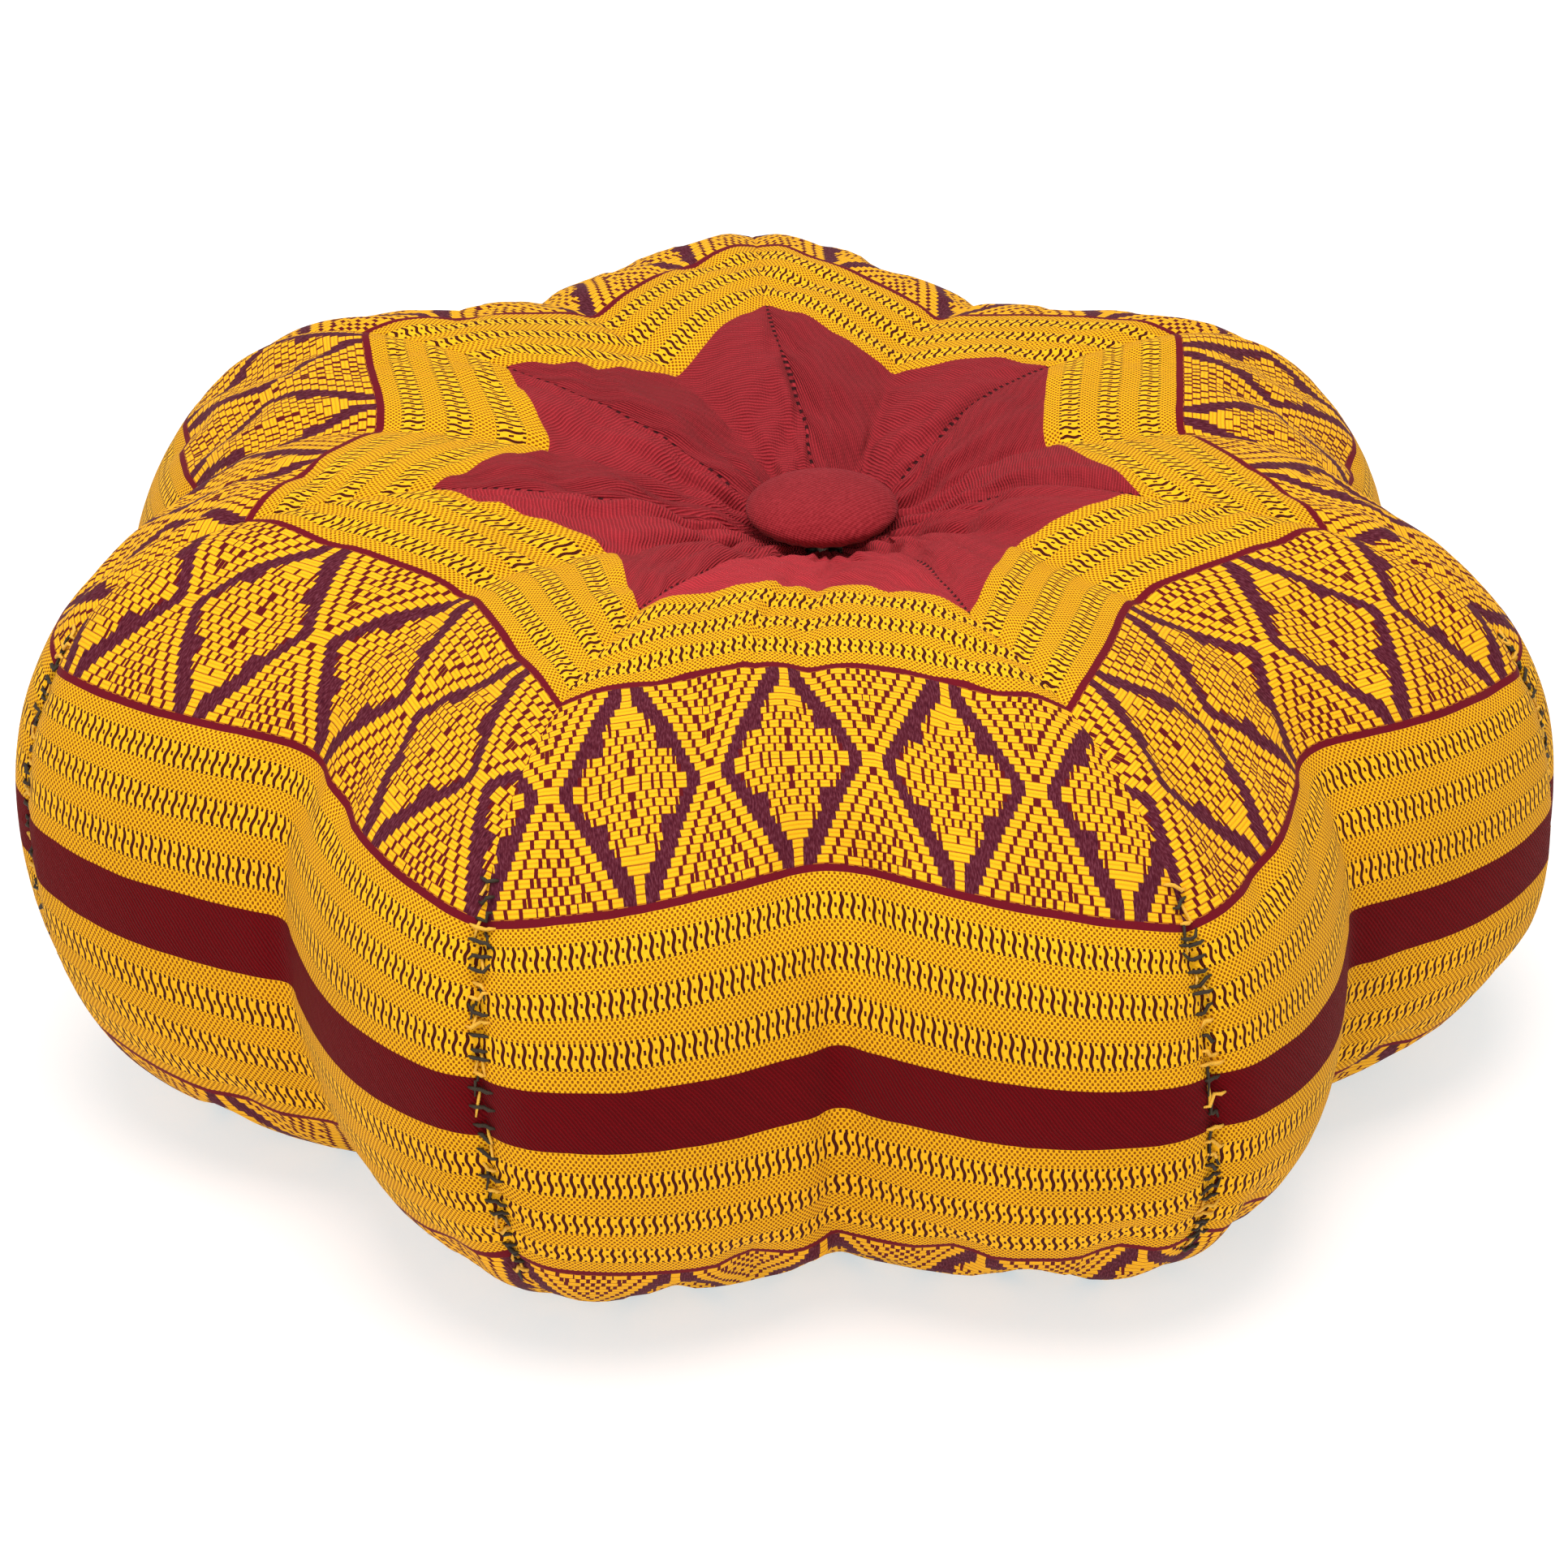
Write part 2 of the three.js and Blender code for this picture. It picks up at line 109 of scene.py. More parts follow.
TUCK_FOLD_ASIDE_MM = 4.5
LOW_TUCK_MIDDLE_MM = 300.0
LOW_TUCK_LENGTH_MM = 45.0
LOW_TUCK_SIDE_MM = 3.0
LOW_TUCK_SWAY_MM = 2.0
LOW_TUCK_MM = (1.6, 3.2)
LOW_TUCK_FOLD_MM = (1.1, 6.0)
LOW_TUCK_FOLD_ASIDE_MM = 9.0

# ---- The woven strip, along its length from the top centre, in millimetres ----
STRIP_MIDDLE_MM = 254.0  # top centre to the girth
SIDE_BAND_MM = 6.9  # half width of the maroon band round the girth
STRIPES_MM = 44.0  # width of a band of fine stripes
LINE_MM = 2.2  # thin maroon line beside the diamonds
DIAMONDS_MM = 68.0  # width of the band of diamonds
STRIPES_START_MM = SIDE_BAND_MM
LINE_START_MM = STRIPES_START_MM + STRIPES_MM
DIAMONDS_START_MM = LINE_START_MM + LINE_MM
DIAMONDS_END_MM = DIAMONDS_START_MM + DIAMONDS_MM
TOP_STRIPES_START_MM = DIAMONDS_END_MM + LINE_MM
STAR_START_MM = TOP_STRIPES_START_MM + STRIPES_MM

# Where the edges of the bands meet a crown and a notch, as shares of their radius.
BAND_EDGES_MM = (0.0, STRIP_MIDDLE_MM - STAR_START_MM, STRIP_MIDDLE_MM - TOP_STRIPES_START_MM,
                 STRIP_MIDDLE_MM - LINE_START_MM, STRIP_MIDDLE_MM)
CROWN_SHARES = (0.0, 0.46, 0.69, 0.956, 1.0)
NOTCH_SHARES = (0.0, 0.39, 0.627, 0.929, 1.0)

# How far each strip's diamonds are shifted sideways, because each was cut at another place.
STRIP_SHIFTS_MM = (4.0, -9.0, 12.0, 7.4, -6.0, 15.0, -3.0)

STRIP_END_MM = 9.0  # the strips end this far from the centre, under the buttons
HALF_COLUMNS = 26  # columns of quads from a crown to a notch
ROWS = 230


# ---------------------------------------------------------------- shape

def meridian(radius, rise, drop, top_dimple, bottom_dimple, turn, inset):
    """Half outline: turn is 0 at the top centre, 1 at the girth, 2 at the bottom centre."""
    share = np.sin(turn * math.pi / 2)
    level = np.clip(1 - share ** ROUNDNESS, 0, 1) ** (1 / SIDE_ROUNDNESS)
    r = (radius - inset) * share
    pull = np.exp(-((r / DIMPLE_WIDTH) ** 2))
    top = (rise - inset) * level - top_dimple * pull
    bottom = -(drop - inset) * level + bottom_dimple * pull
    return r, GIRTH_HEIGHT + np.where(turn < 1, top, bottom)


def crown_outline(turn, inset=0.0):
    return meridian(CROWN_RADIUS, TOP_RISE, SAG_DROP, TOP_DIMPLE, BOTTOM_DIMPLE, turn, inset)


def notch_outline(turn, inset=0.0):
    return meridian(NOTCH_RADIUS, TOP_RISE - VALLEY_DROP, SAG_DROP - VALLEY_DROP,
                    TOP_DIMPLE - VALLEY_DROP, BOTTOM_DIMPLE - VALLEY_DROP, turn, inset)


def share_from_notch(across):
    """0 at a notch and 1 at the crown. It starts gently, so the notch is soft."""
    def soften(gap):
        return np.hypot(gap, NOTCH_SOFTNESS) - NOTCH_SOFTNESS
    return soften(1 - np.abs(across)) / soften(1.0)


def surface(lobe, across, turn, inset=0.0):
    """Points of the cover. across is -1 and 1 at a lobe's notches and 0 at its crown."""
    half = LOBE_ANGLE / 2
    crown_r, crown_z = crown_outline(turn, inset)
    notch_r, notch_z = notch_outline(turn, inset)
    share = share_from_notch(across)
    aside = (1 - share) * half
    chord = notch_r * math.sin(half)
    bulge = crown_r - notch_r * math.cos(half)
    arc = (chord ** 2 + bulge ** 2) / (2 * bulge)
    centre = crown_r - arc
    round_r = centre * np.cos(aside) + np.sqrt(arc ** 2 - (centre * np.sin(aside)) ** 2)
    width = crown_r * np.sin(aside) + notch_r * np.sin(half - aside)
    star_r = crown_r * notch_r * math.sin(half) / width
    fullness = LOBE_FULLNESS * np.sin(turn * math.pi / 2) ** FULLNESS_GROWTH
    r = star_r + (round_r - star_r) * fullness
    z = crown_z - (crown_z - notch_z) * (1 - share) ** 2
    angle = math.pi / 2 - lobe * LOBE_ANGLE - across * half
    return settle(r, angle, np.maximum(z, inset))


def settle(r, angle, z):
    """The cushion as it really sits: its top a little twisted, one side fuller than the other."""
    far = np.clip((r - SETTLE_FROM) / (SETTLE_TO - SETTLE_FROM), 0, 1)
    far = far * far * (3 - 2 * far)
    angle = angle - TWIST * far * (z - GIRTH_HEIGHT) / CROWN_RADIUS
    lobe = (math.pi / 2 - angle) / LOBE_ANGLE
    reach = np.interp(lobe, range(LOBES), LOBE_REACHES_MM, period=LOBES) * MM
    lumps = np.sin(5 * angle + z * 22 + 2.1) * np.sin(z * 40 + 3 * angle)
    lumps = lumps + 0.6 * np.sin(11 * angle - z * 35)
    r = r + far * (reach + LUMP_SIZE * lumps)
    above = np.clip(z / GIRTH_HEIGHT, 0, 1)
    z = z * (1 + LUMP_SIZE * far * above * np.sin(4 * angle + 1.3) / GIRTH_HEIGHT)
    z = z - LEAN * far * above * r * np.cos(angle)
    x = AXIS.x + r * np.cos(angle) - TUFT_ASIDE * far
    return np.stack([x, AXIS.y + r * np.sin(angle), z + 0 * r], axis=-1)


def turn_at(cloth_mm, shares):
    """Turn of the outline where the strip's length from its nearer centre is cloth_mm."""
    near = np.minimum(cloth_mm, 2 * STRIP_MIDDLE_MM - cloth_mm)
    turns = [math.asin(share) * 2 / math.pi for share in shares]
    turn = np.interp(near, BAND_EDGES_MM, turns)
    return np.where(cloth_mm <= STRIP_MIDDLE_MM, turn, 2 - turn)


def strip_points(index, places, cloth):
    """Points of a strip. places runs from -1 at one crown through 0 at the notch to 1."""
    places, cloth = np.meshgrid(places, cloth)
    lobe = index + (places > 0)
    across = places + np.where(places > 0, -1, 1)
    crown_turn = turn_at(cloth, CROWN_SHARES)
    notch_turn = turn_at(cloth, NOTCH_SHARES)
    turn = notch_turn + (crown_turn - notch_turn) * share_from_notch(across)
    return surface(lobe, across, turn)


def normals_of(points):
    """Outward normals of a grid: its rows run downwards and its columns clockwise from above."""
    down = np.gradient(points, axis=0)
    along = np.gradient(points, axis=1)
    normal = np.cross(along, down)
    return normal / np.maximum(np.linalg.norm(normal, axis=-1, keepdims=True), 1e-12)


def distance_from_notch(points):
    """Signed distance along each row from the strip's middle column, in millimetres."""
    gaps = np.linalg.norm(np.diff(points, axis=1), axis=-1)
    run = np.concatenate([np.zeros((len(points), 1)), np.cumsum(gaps, axis=1)], axis=1)
    middle = points.shape[1] // 2
    return (run - run[:, middle:middle + 1]) / MM


# ---------------------------------------------------------------- cloth simulation

SIM_COLUMNS = 19
SIM_ROWS = 70
SIM_FRAMES = 20
SIM_PRESSURE = 4
SIM_SHRINK = -0.03  # the cloth gives a little, so it grows
SIM_CAP = 2.2 * MM  # no point of the cloth moves further than this


def coarse_grid():
    places = np.linspace(-1, 1, SIM_COLUMNS)
    cloth = np.linspace(STRIP_END_MM, 2 * STRIP_MIDDLE_MM - STRIP_END_MM, SIM_ROWS)
    return places, cloth


def puffed_strips():
    """How far the kapok's pressure moves each strip, as one grid of offsets for each strip."""
    places, cloth = coarse_grid()
    start = np.stack([strip_points(index, places, cloth) for index in range(LOBES)])
    count = SIM_ROWS * SIM_COLUMNS
    index = np.arange(count).reshape(SIM_ROWS, SIM_COLUMNS)
    corners = [index[:-1, :-1], index[:-1, 1:], index[1:, 1:], index[1:, :-1]]
    quads = np.stack(corners, axis=-1).reshape(-1, 4)
    faces = np.concatenate([quads + strip * count for strip in range(LOBES)])
    mesh = bpy.data.meshes.new("puffing")
    mesh.from_pydata(start.reshape(-1, 3).tolist(), [], faces.tolist())
    puffing = add_object("puffing", mesh)
    held = np.zeros((LOBES, SIM_ROWS, SIM_COLUMNS), dtype=bool)
    held[:, :, [0, SIM_COLUMNS // 2, -1]] = True
    held[:, [0, -1], :] = True
    held |= start[..., 2] < FLOOR_CONTACT
    pins = puffing.vertex_groups.new(name="sewn")
    pins.add(np.flatnonzero(held.ravel()).tolist(), 1.0, "REPLACE")
    cloth_modifier = puffing.modifiers.new("cloth", "CLOTH")
    settings = cloth_modifier.settings
    settings.quality = 6
    settings.mass = 0.3
    settings.tension_stiffness = 12
    settings.compression_stiffness = 8
    settings.shear_stiffness = 4
    settings.bending_stiffness = 0.15
    settings.shrink_min = SIM_SHRINK
    settings.use_pressure = True
    settings.uniform_pressure_force = SIM_PRESSURE
    settings.vertex_group_mass = "sewn"
    settings.effector_weights.gravity = 0
    cloth_modifier.point_cache.frame_end = SIM_FRAMES
    scene = bpy.context.scene
    for step in range(1, SIM_FRAMES + 1):
        scene.frame_set(step)
    settled = puffing.evaluated_get(bpy.context.evaluated_depsgraph_get()).data
    moved = np.zeros(len(settled.vertices) * 3)
    settled.vertices.foreach_get("co", moved)
    moved = moved.reshape(start.shape) - start
    bpy.data.objects.remove(puffing)
    scene.frame_set(1)
    outward = np.stack([normals_of(strip) for strip in start])
    moved = outward * (moved * outward).sum(axis=-1, keepdims=True)
    length = np.maximum(np.linalg.norm(moved, axis=-1, keepdims=True), 1e-9)
    return moved * np.tanh(length / SIM_CAP) * SIM_CAP / length


def spline_weights(knots, places):
    """Weights that carry values at even knots to places, along a smooth Catmull-Rom spline."""
    step = (places - knots[0]) / (knots[1] - knots[0])
    base = np.clip(np.floor(step).astype(int), 0, len(knots) - 2)
    t = step - base
    factors = [-0.5 * t + t ** 2 - 0.5 * t ** 3, 1 - 2.5 * t ** 2 + 1.5 * t ** 3,
               0.5 * t + 2 * t ** 2 - 1.5 * t ** 3, -0.5 * t ** 2 + 0.5 * t ** 3]
    weights = np.zeros((len(places), len(knots)))
    for offset, factor in enumerate(factors):
        column = np.clip(base + offset - 1, 0, len(knots) - 1)
        np.add.at(weights, (np.arange(len(places)), column), factor)
    return weights


# ---------------------------------------------------------------- cover

def bump_at(distance, width):
    return np.exp(-((distance / width) ** 2))


def groove(distance, depth_and_width):
    depth, width = depth_and_width
    return depth * bump_at(distance, width)


def sewing_depth(index, cloth, sideways, seam):
    """How deep seams, puckers and gathers pull the cloth in, in millimetres."""
    from_girth = cloth - STRIP_MIDDLE_MM
    half_width = np.abs(sideways) + seam
    share = sideways / half_width
    depth = groove(seam, SEAM_LINE_MM) + groove(seam, SEAM_GROOVE_MM)

    # The hand-sewn part of the crown seam is puckered between its stitches.
    hand_sewn = 1 / (1 + np.exp((np.abs(from_girth) - HAND_SEAM_MM) / 3))
    wobble = np.sin(cloth * 0.61 + index * 1.7) * 1.4
    pucker = np.sin(cloth * 2 * math.pi / PUCKER_PITCH_MM + wobble + np.sign(sideways))
    depth = depth + hand_sewn * (pucker * groove(seam, PUCKER_MM) + groove(seam, HAND_GROOVE_MM))

    # The partition pulls a soft crease into the middle of the strip.
    near_tuft = bump_at(np.minimum(cloth, 2 * STRIP_MIDDLE_MM - cloth), TUFT_REACH_MM)
    crease = CREASE_MM + CREASE_CHANGE_MM * np.sin(cloth * 0.05 + index * 2.3)
    depth = depth + crease * bump_at(sideways, CREASE_WIDTH_MM) * (1 - near_tuft)

    # Gathers run out from the tufts.
    pleats = np.sin(share * 12 + index * 2.1 + 0.9 * np.sin(cloth * 0.045 + index))
    pleats = pleats + 0.6 * np.sin(share * 23 - index * 1.3 + cloth * 0.02)
    away_from_seam = 1 - bump_at(seam, GATHER_EDGE_MM)
    return depth + GATHER_DEPTHS_MM[index] * near_tuft * pleats * away_from_seam


def tuck_depth(cloth, sideways):
    """Two small tucks beside the front notch, where more cloth was sewn in than was needed."""
    along = bump_at(cloth - TUCK_MIDDLE_MM, TUCK_LENGTH_MM)
    line = sideways - TUCK_SIDE_MM - (cloth - TUCK_MIDDLE_MM) * TUCK_SLOPE
    tuck = groove(line, TUCK_MM) - groove(line - TUCK_FOLD_ASIDE_MM, TUCK_FOLD_MM)
    low_along = bump_at(cloth - LOW_TUCK_MIDDLE_MM, LOW_TUCK_LENGTH_MM)
    low = sideways - LOW_TUCK_SIDE_MM - LOW_TUCK_SWAY_MM * np.sin(cloth * 0.05)
    low_tuck = groove(low, LOW_TUCK_MM) - groove(low - LOW_TUCK_FOLD_ASIDE_MM, LOW_TUCK_FOLD_MM)
    return along * tuck + low_along * low_tuck


def cover_strip(index, puff):
    """Points of one strip, its cloth coordinates and the distances from its crown seams."""
    steps = np.arange(HALF_COLUMNS + 1) / HALF_COLUMNS
    eased = 0.5 - 0.5 * np.cos(math.pi * steps)
    places = np.concatenate([eased - 1, eased[1:]])
    cloth = np.linspace(STRIP_END_MM, 2 * STRIP_MIDDLE_MM - STRIP_END_MM, ROWS + 1)
    points = strip_points(index, places, cloth)
    coarse_places, coarse_cloth = coarse_grid()
    along = spline_weights(coarse_cloth, cloth)
    sideways = spline_weights(coarse_places, places)
    points = points + np.einsum("rk,kcx,sc->rsx", along, puff, sideways)
    sideways = distance_from_notch(points)
    edge = np.where(sideways < 0, -sideways[:, :1], sideways[:, -1:])
    seam = edge - np.abs(sideways)
    rows = np.repeat(cloth[:, None], len(places), axis=1)
    depth = sewing_depth(index, rows, sideways, seam)
    if index == FRONT_STRIP:
        depth = depth + tuck_depth(rows, sideways)
    points = points - normals_of(points) * depth[..., None] * MM
    points[..., 2] = np.maximum(points[..., 2], 0)
    return {"points": points, "sideways": sideways, "cloth": rows, "seam": seam}


def join_seams(strips):
    """Brings the edges of neighbouring strips together along each crown seam."""
    for index, strip in enumerate(strips):
        before = strips[index - 1]["points"]
        after = strip["points"]
        shared = (before[:, -1] + after[:, 0]) / 2
        before[:, -1] = shared
        after[:, 0] = shared


# ---------------------------------------------------------------- materials

class Signal:
    """A number in a material. Arithmetic on it adds Math nodes."""

    def __init__(self, tree, socket):
        self.tree = tree
        self.socket = socket

    def math(self, operation, *others):
        node = self.tree.nodes.new("ShaderNodeMath")
        node.operation = operation
        for slot, value in zip(node.inputs, (self, *others)):
            if isinstance(value, Signal):
                self.tree.links.new(value.socket, slot)
            else:
                slot.default_value = value
        return Signal(self.tree, node.outputs[0])

    def __add__(self, other):
        return self.math("ADD", other)

    def __sub__(self, other):
        return self.math("SUBTRACT", other)

    def __mul__(self, other):
        return self.math("MULTIPLY", other)

    def __truediv__(self, other):
        return self.math("DIVIDE", other)

    def __neg__(self):
        return self.math("MULTIPLY", -1.0)

    def __abs__(self):
        return self.math("ABSOLUTE")

    def __lt__(self, other):
        return self.math("LESS_THAN", other)

    def __gt__(self, other):
        return self.math("GREATER_THAN", other)

    def floor(self):
        return self.math("FLOOR")

    def sin(self):
        return self.math("SINE")

    def least(self, other):
        return self.math("MINIMUM", other)

    def most(self, other):
        return self.math("MAXIMUM", other)

    def within(self, period):
        """The signed distance to the nearest multiple of period."""
        return self.math("WRAP", period / 2, -period / 2)

    def flip(self):
        return self.math("MULTIPLY_ADD", -1.0, 1.0)

    def either(self, other):
        return self.most(other)


def new_material(name):
    material = bpy.data.materials.new(name)
    material.use_nodes = True
    tree = material.node_tree
    return material, tree, tree.nodes["Principled BSDF"]


def noise(tree, vector, scale, detail=2.0, distortion=0.0):
    """Noise around 0, from -0.5 to 0.5."""
    node = tree.nodes.new("ShaderNodeTexNoise")
    node.inputs["Scale"].default_value = scale
    node.inputs["Detail"].default_value = detail
    node.inputs["Distortion"].default_value = distortion
    tree.links.new(vector, node.inputs["Vector"])
    return Signal(tree, node.outputs["Fac"]) - 0.5


def mix_colours(tree, below, above, mask):
    """below where mask is 0 and above where it is 1. Each is a colour or a colour socket."""
    node = tree.nodes.new("ShaderNodeMix")
    node.data_type = "RGBA"
    tree.links.new(mask.socket, node.inputs["Factor"])
    for slot, colour in ((node.inputs[6], below), (node.inputs[7], above)):
        if isinstance(colour, tuple):
            slot.default_value = (*colour, 1.0)
        else:
            tree.links.new(colour, slot)
    return node.outputs[2]


def shade_colour(tree, colour, amount):
    """colour made lighter or darker by the signal amount, around 1."""
    node = tree.nodes.new("ShaderNodeVectorMath")
    node.operation = "SCALE"
    tree.links.new(colour, node.inputs[0])
    tree.links.new(amount.socket, node.inputs["Scale"])
    return node.outputs[0]


def add_bump(tree, shader, height_mm, strength=1.0):
    bump = tree.nodes.new("ShaderNodeBump")
    bump.inputs["Distance"].default_value = MM
    bump.inputs["Strength"].default_value = strength
    tree.links.new(height_mm.socket, bump.inputs["Height"])
    tree.links.new(bump.outputs["Normal"], shader.inputs["Normal"])


YELLOW = (0.82, 0.40, 0.008)
YELLOW_LONG = (0.90, 0.45, 0.010)
BROWN_DOT = (0.25, 0.072, 0.002)
STROKE = (0.060, 0.008, 0.004)
FLOAT_MAROON = (0.11, 0.006, 0.008)  # ground between the yellow floats
LINE_MAROON = (0.135, 0.005, 0.012)
GROUND = (0.075, 0.008, 0.016)
GROUND_LIGHT = (0.17, 0.040, 0.062)
GROUND_DARK = (0.030, 0.002, 0.010)
# Yellow of the floats where each thread curves down: painted shade.
YELLOW_PAINTED_SHADE = (0.66, 0.24, 0.008)
# Thin line between rows of floats: the ground showing through, darkened with painted shadow.
FLOAT_GAP_AND_SHADOW = (0.30, 0.055, 0.010)
# The star's maroon is lighter than the side band's: a lighter weave of its own, with painted sheen
# where the top catches the light.
STAR_MAROON_AND_SHEEN = (0.35, 0.024, 0.032)
SIDE_MAROON = (0.13, 0.0012, 0.0035)
SEAM_DASH = (0.05, 0.008, 0.010)

# A darker and a lighter colour of each plain cloth and thread.
BUTTON_COLOURS = ((0.19, 0.006, 0.010), (0.37, 0.026, 0.034))
BROWN_THREAD_COLOURS = ((0.014, 0.010, 0.007), (0.055, 0.035, 0.016))
YELLOW_THREAD_COLOURS = ((0.62, 0.30, 0.02), (0.9, 0.5, 0.05))
KAPOK_COLOURS = ((0.72, 0.64, 0.46), (0.88, 0.82, 0.66))
PARTITION_COLOURS = ((0.60, 0.52, 0.38), (0.78, 0.71, 0.56))
CORD_COLOURS = ((0.66, 0.58, 0.42), (0.85, 0.78, 0.62))

CHECKER_ACROSS_MM = 1.5  # spacing of the dots in the plain stripes
CHECKER_ALONG_MM = 1.7
TWILL_MM = 1.25  # spacing of the slanting ribs of the plain maroon parts
STAR_ROW_MM = 13.1  # spacing of the rows of little stars
STAR_ROW_HALF_MM = 3.6
STAR_MM = 3.05  # width of one little star
BRICK_ROW_MM = 2.6  # spacing of the rows of floats in the diamond band
BETWEEN_ROWS_MM = 0.21
DIAMOND_MM = 45.5  # spacing of the diamonds
DIAMOND_HALF_MM = 20.4  # from a diamond's centre to its side corner
DIAMOND_SLOPE = -16.0 / 34.0
LONG_FLOAT_MM = 4.2  # spacing of the long floats that follow the diamonds
LONG_FLOAT_END_MM = 3.08
SHORT_FLOAT_MM = 2.84  # spacing of the short floats of the field
SHORT_FLOAT_HALF_MM = 0.86
CORE_START_MM = 8.4  # the field's core of short floats starts this far from a diamond
PATCH_MM = 9.6  # spacing of the patches of long floats in the core
SIDE_PETAL_MM = 12.4  # from the centre of a diamond to the eye of a petal
END_PETAL_MM = 19.5
SIDE_RING_MM = 5.2
END_RING_MM = 5.3
RING_HALF_MM = 0.46
LEAF_MM = 3.4  # spacing of the slanting leaves between the petals
LEAF_HALF_MM = 1.28


def fine_checker(u, v):
    """Waves of the plain stripes: dark dots lie where this is high, in a slanting grid."""
    across = (u * (2 * math.pi / CHECKER_ACROSS_MM)).sin()
    return across * (v * (2 * math.pi / CHECKER_ALONG_MM)).sin()


def stripes_pattern(u, v, inward):
    """Masks of a band of fine stripes: dark dots and dark strokes. inward is from its edge."""
    across_row = (inward - STRIPES_MM / 2).within(STAR_ROW_MM)
    in_row = abs(across_row) < STAR_ROW_HALF_MM
    sway = (across_row * (2 * math.pi / 5.6)).sin() * 0.36
    stroke = abs((u + STAR_MM / 2 + sway).within(STAR_MM)) < 0.50
    stroke = stroke * (abs(across_row) < 2.8)
    cell = abs(u.within(STAR_MM))
    eye = (cell < 0.34) * (abs(across_row) < 0.62)
    foot = (abs(u.within(STAR_MM / 2)) < 0.36) * (abs(abs(across_row) - 3.15) < 0.42)
    marks = stroke.either(eye).either(foot) * in_row
    dots = (fine_checker(u, v) > 0.16) * in_row.flip()
    return dots, marks, in_row


def diamond_pattern(u, y):
    """Yellow floats of the diamond band, and the thread lines on them. y is from its middle."""
    row = (y / BRICK_ROW_MM).floor()
    row_y = abs((row + 0.5) * BRICK_ROW_MM)
    in_row = y - row * BRICK_ROW_MM
    side = abs(u.within(DIAMOND_MM))
    outline = row_y * DIAMOND_SLOPE + DIAMOND_HALF_MM
    wing = (row_y * -0.52 + 16.6) * (row_y < 9.2)
    petal = ((row_y - 17.5).most(0.0) * -0.60 + 7.4) * (row_y < 28.0)
    flower = wing.most(petal).most(1.3)

    # Outside the diamonds, rows of long floats follow the outline round a field of short ones.
    outside = side - outline
    long_gap = (outside + 100 * LONG_FLOAT_MM).math("FLOORED_MODULO", LONG_FLOAT_MM) > LONG_FLOAT_END_MM
    short_gap = abs((side + row * (SHORT_FLOAT_MM / 2)).within(SHORT_FLOAT_MM)) > SHORT_FLOAT_HALF_MM
    long_rows = (row_y * 0.385).math("FLOORED_MODULO", 2.0) < 0.9
    long_in_core = long_rows * (abs((side + row_y * 0.42).within(PATCH_MM)) < 2.0)
    in_core = outside > CORE_START_MM
    gap = long_gap * in_core.flip() + short_gap * in_core * long_in_core.flip()
    field = (outside > 0.0) * gap.flip()

    # Inside, four petals with eyes stand round a cross of slanting leaves.
    side_petal = abs(side - SIDE_PETAL_MM) + row_y * 0.95
    end_petal = side + abs(row_y - END_PETAL_MM) * 0.80
    side_ring = abs(side_petal - SIDE_RING_MM) < RING_HALF_MM
    end_ring = abs(end_petal - END_RING_MM) < RING_HALF_MM
    rings = side_ring.either(end_ring) * (row_y < 22.0)
    in_leaves = (side_petal > SIDE_RING_MM) * (end_petal > END_RING_MM) * (row_y < 21.0)
    leaves = (abs((side - row_y * 0.62).within(LEAF_MM)) > LEAF_HALF_MM) * in_leaves
    spine = (side < 0.45) * (row_y < 11.0) * (row_y > 1.5)
    side_eye = (abs(side - SIDE_PETAL_MM) < 0.45) * (row_y < 1.4)
    end_eye = (side < 0.45) * (abs(row_y - END_PETAL_MM) < 1.35)
    flower_gap = leaves.either(rings).either(spine).either(side_eye).either(end_eye)
    motif = (side < flower) * flower_gap.flip()
    thread = abs((in_row * (2 * math.pi / BRICK_ROW_MM)).sin())
    between_rows = abs(in_row.within(BRICK_ROW_MM)) < BETWEEN_ROWS_MM
    figure = (outside > 0.0).either(side < flower)
    return field.either(motif), thread, between_rows, figure


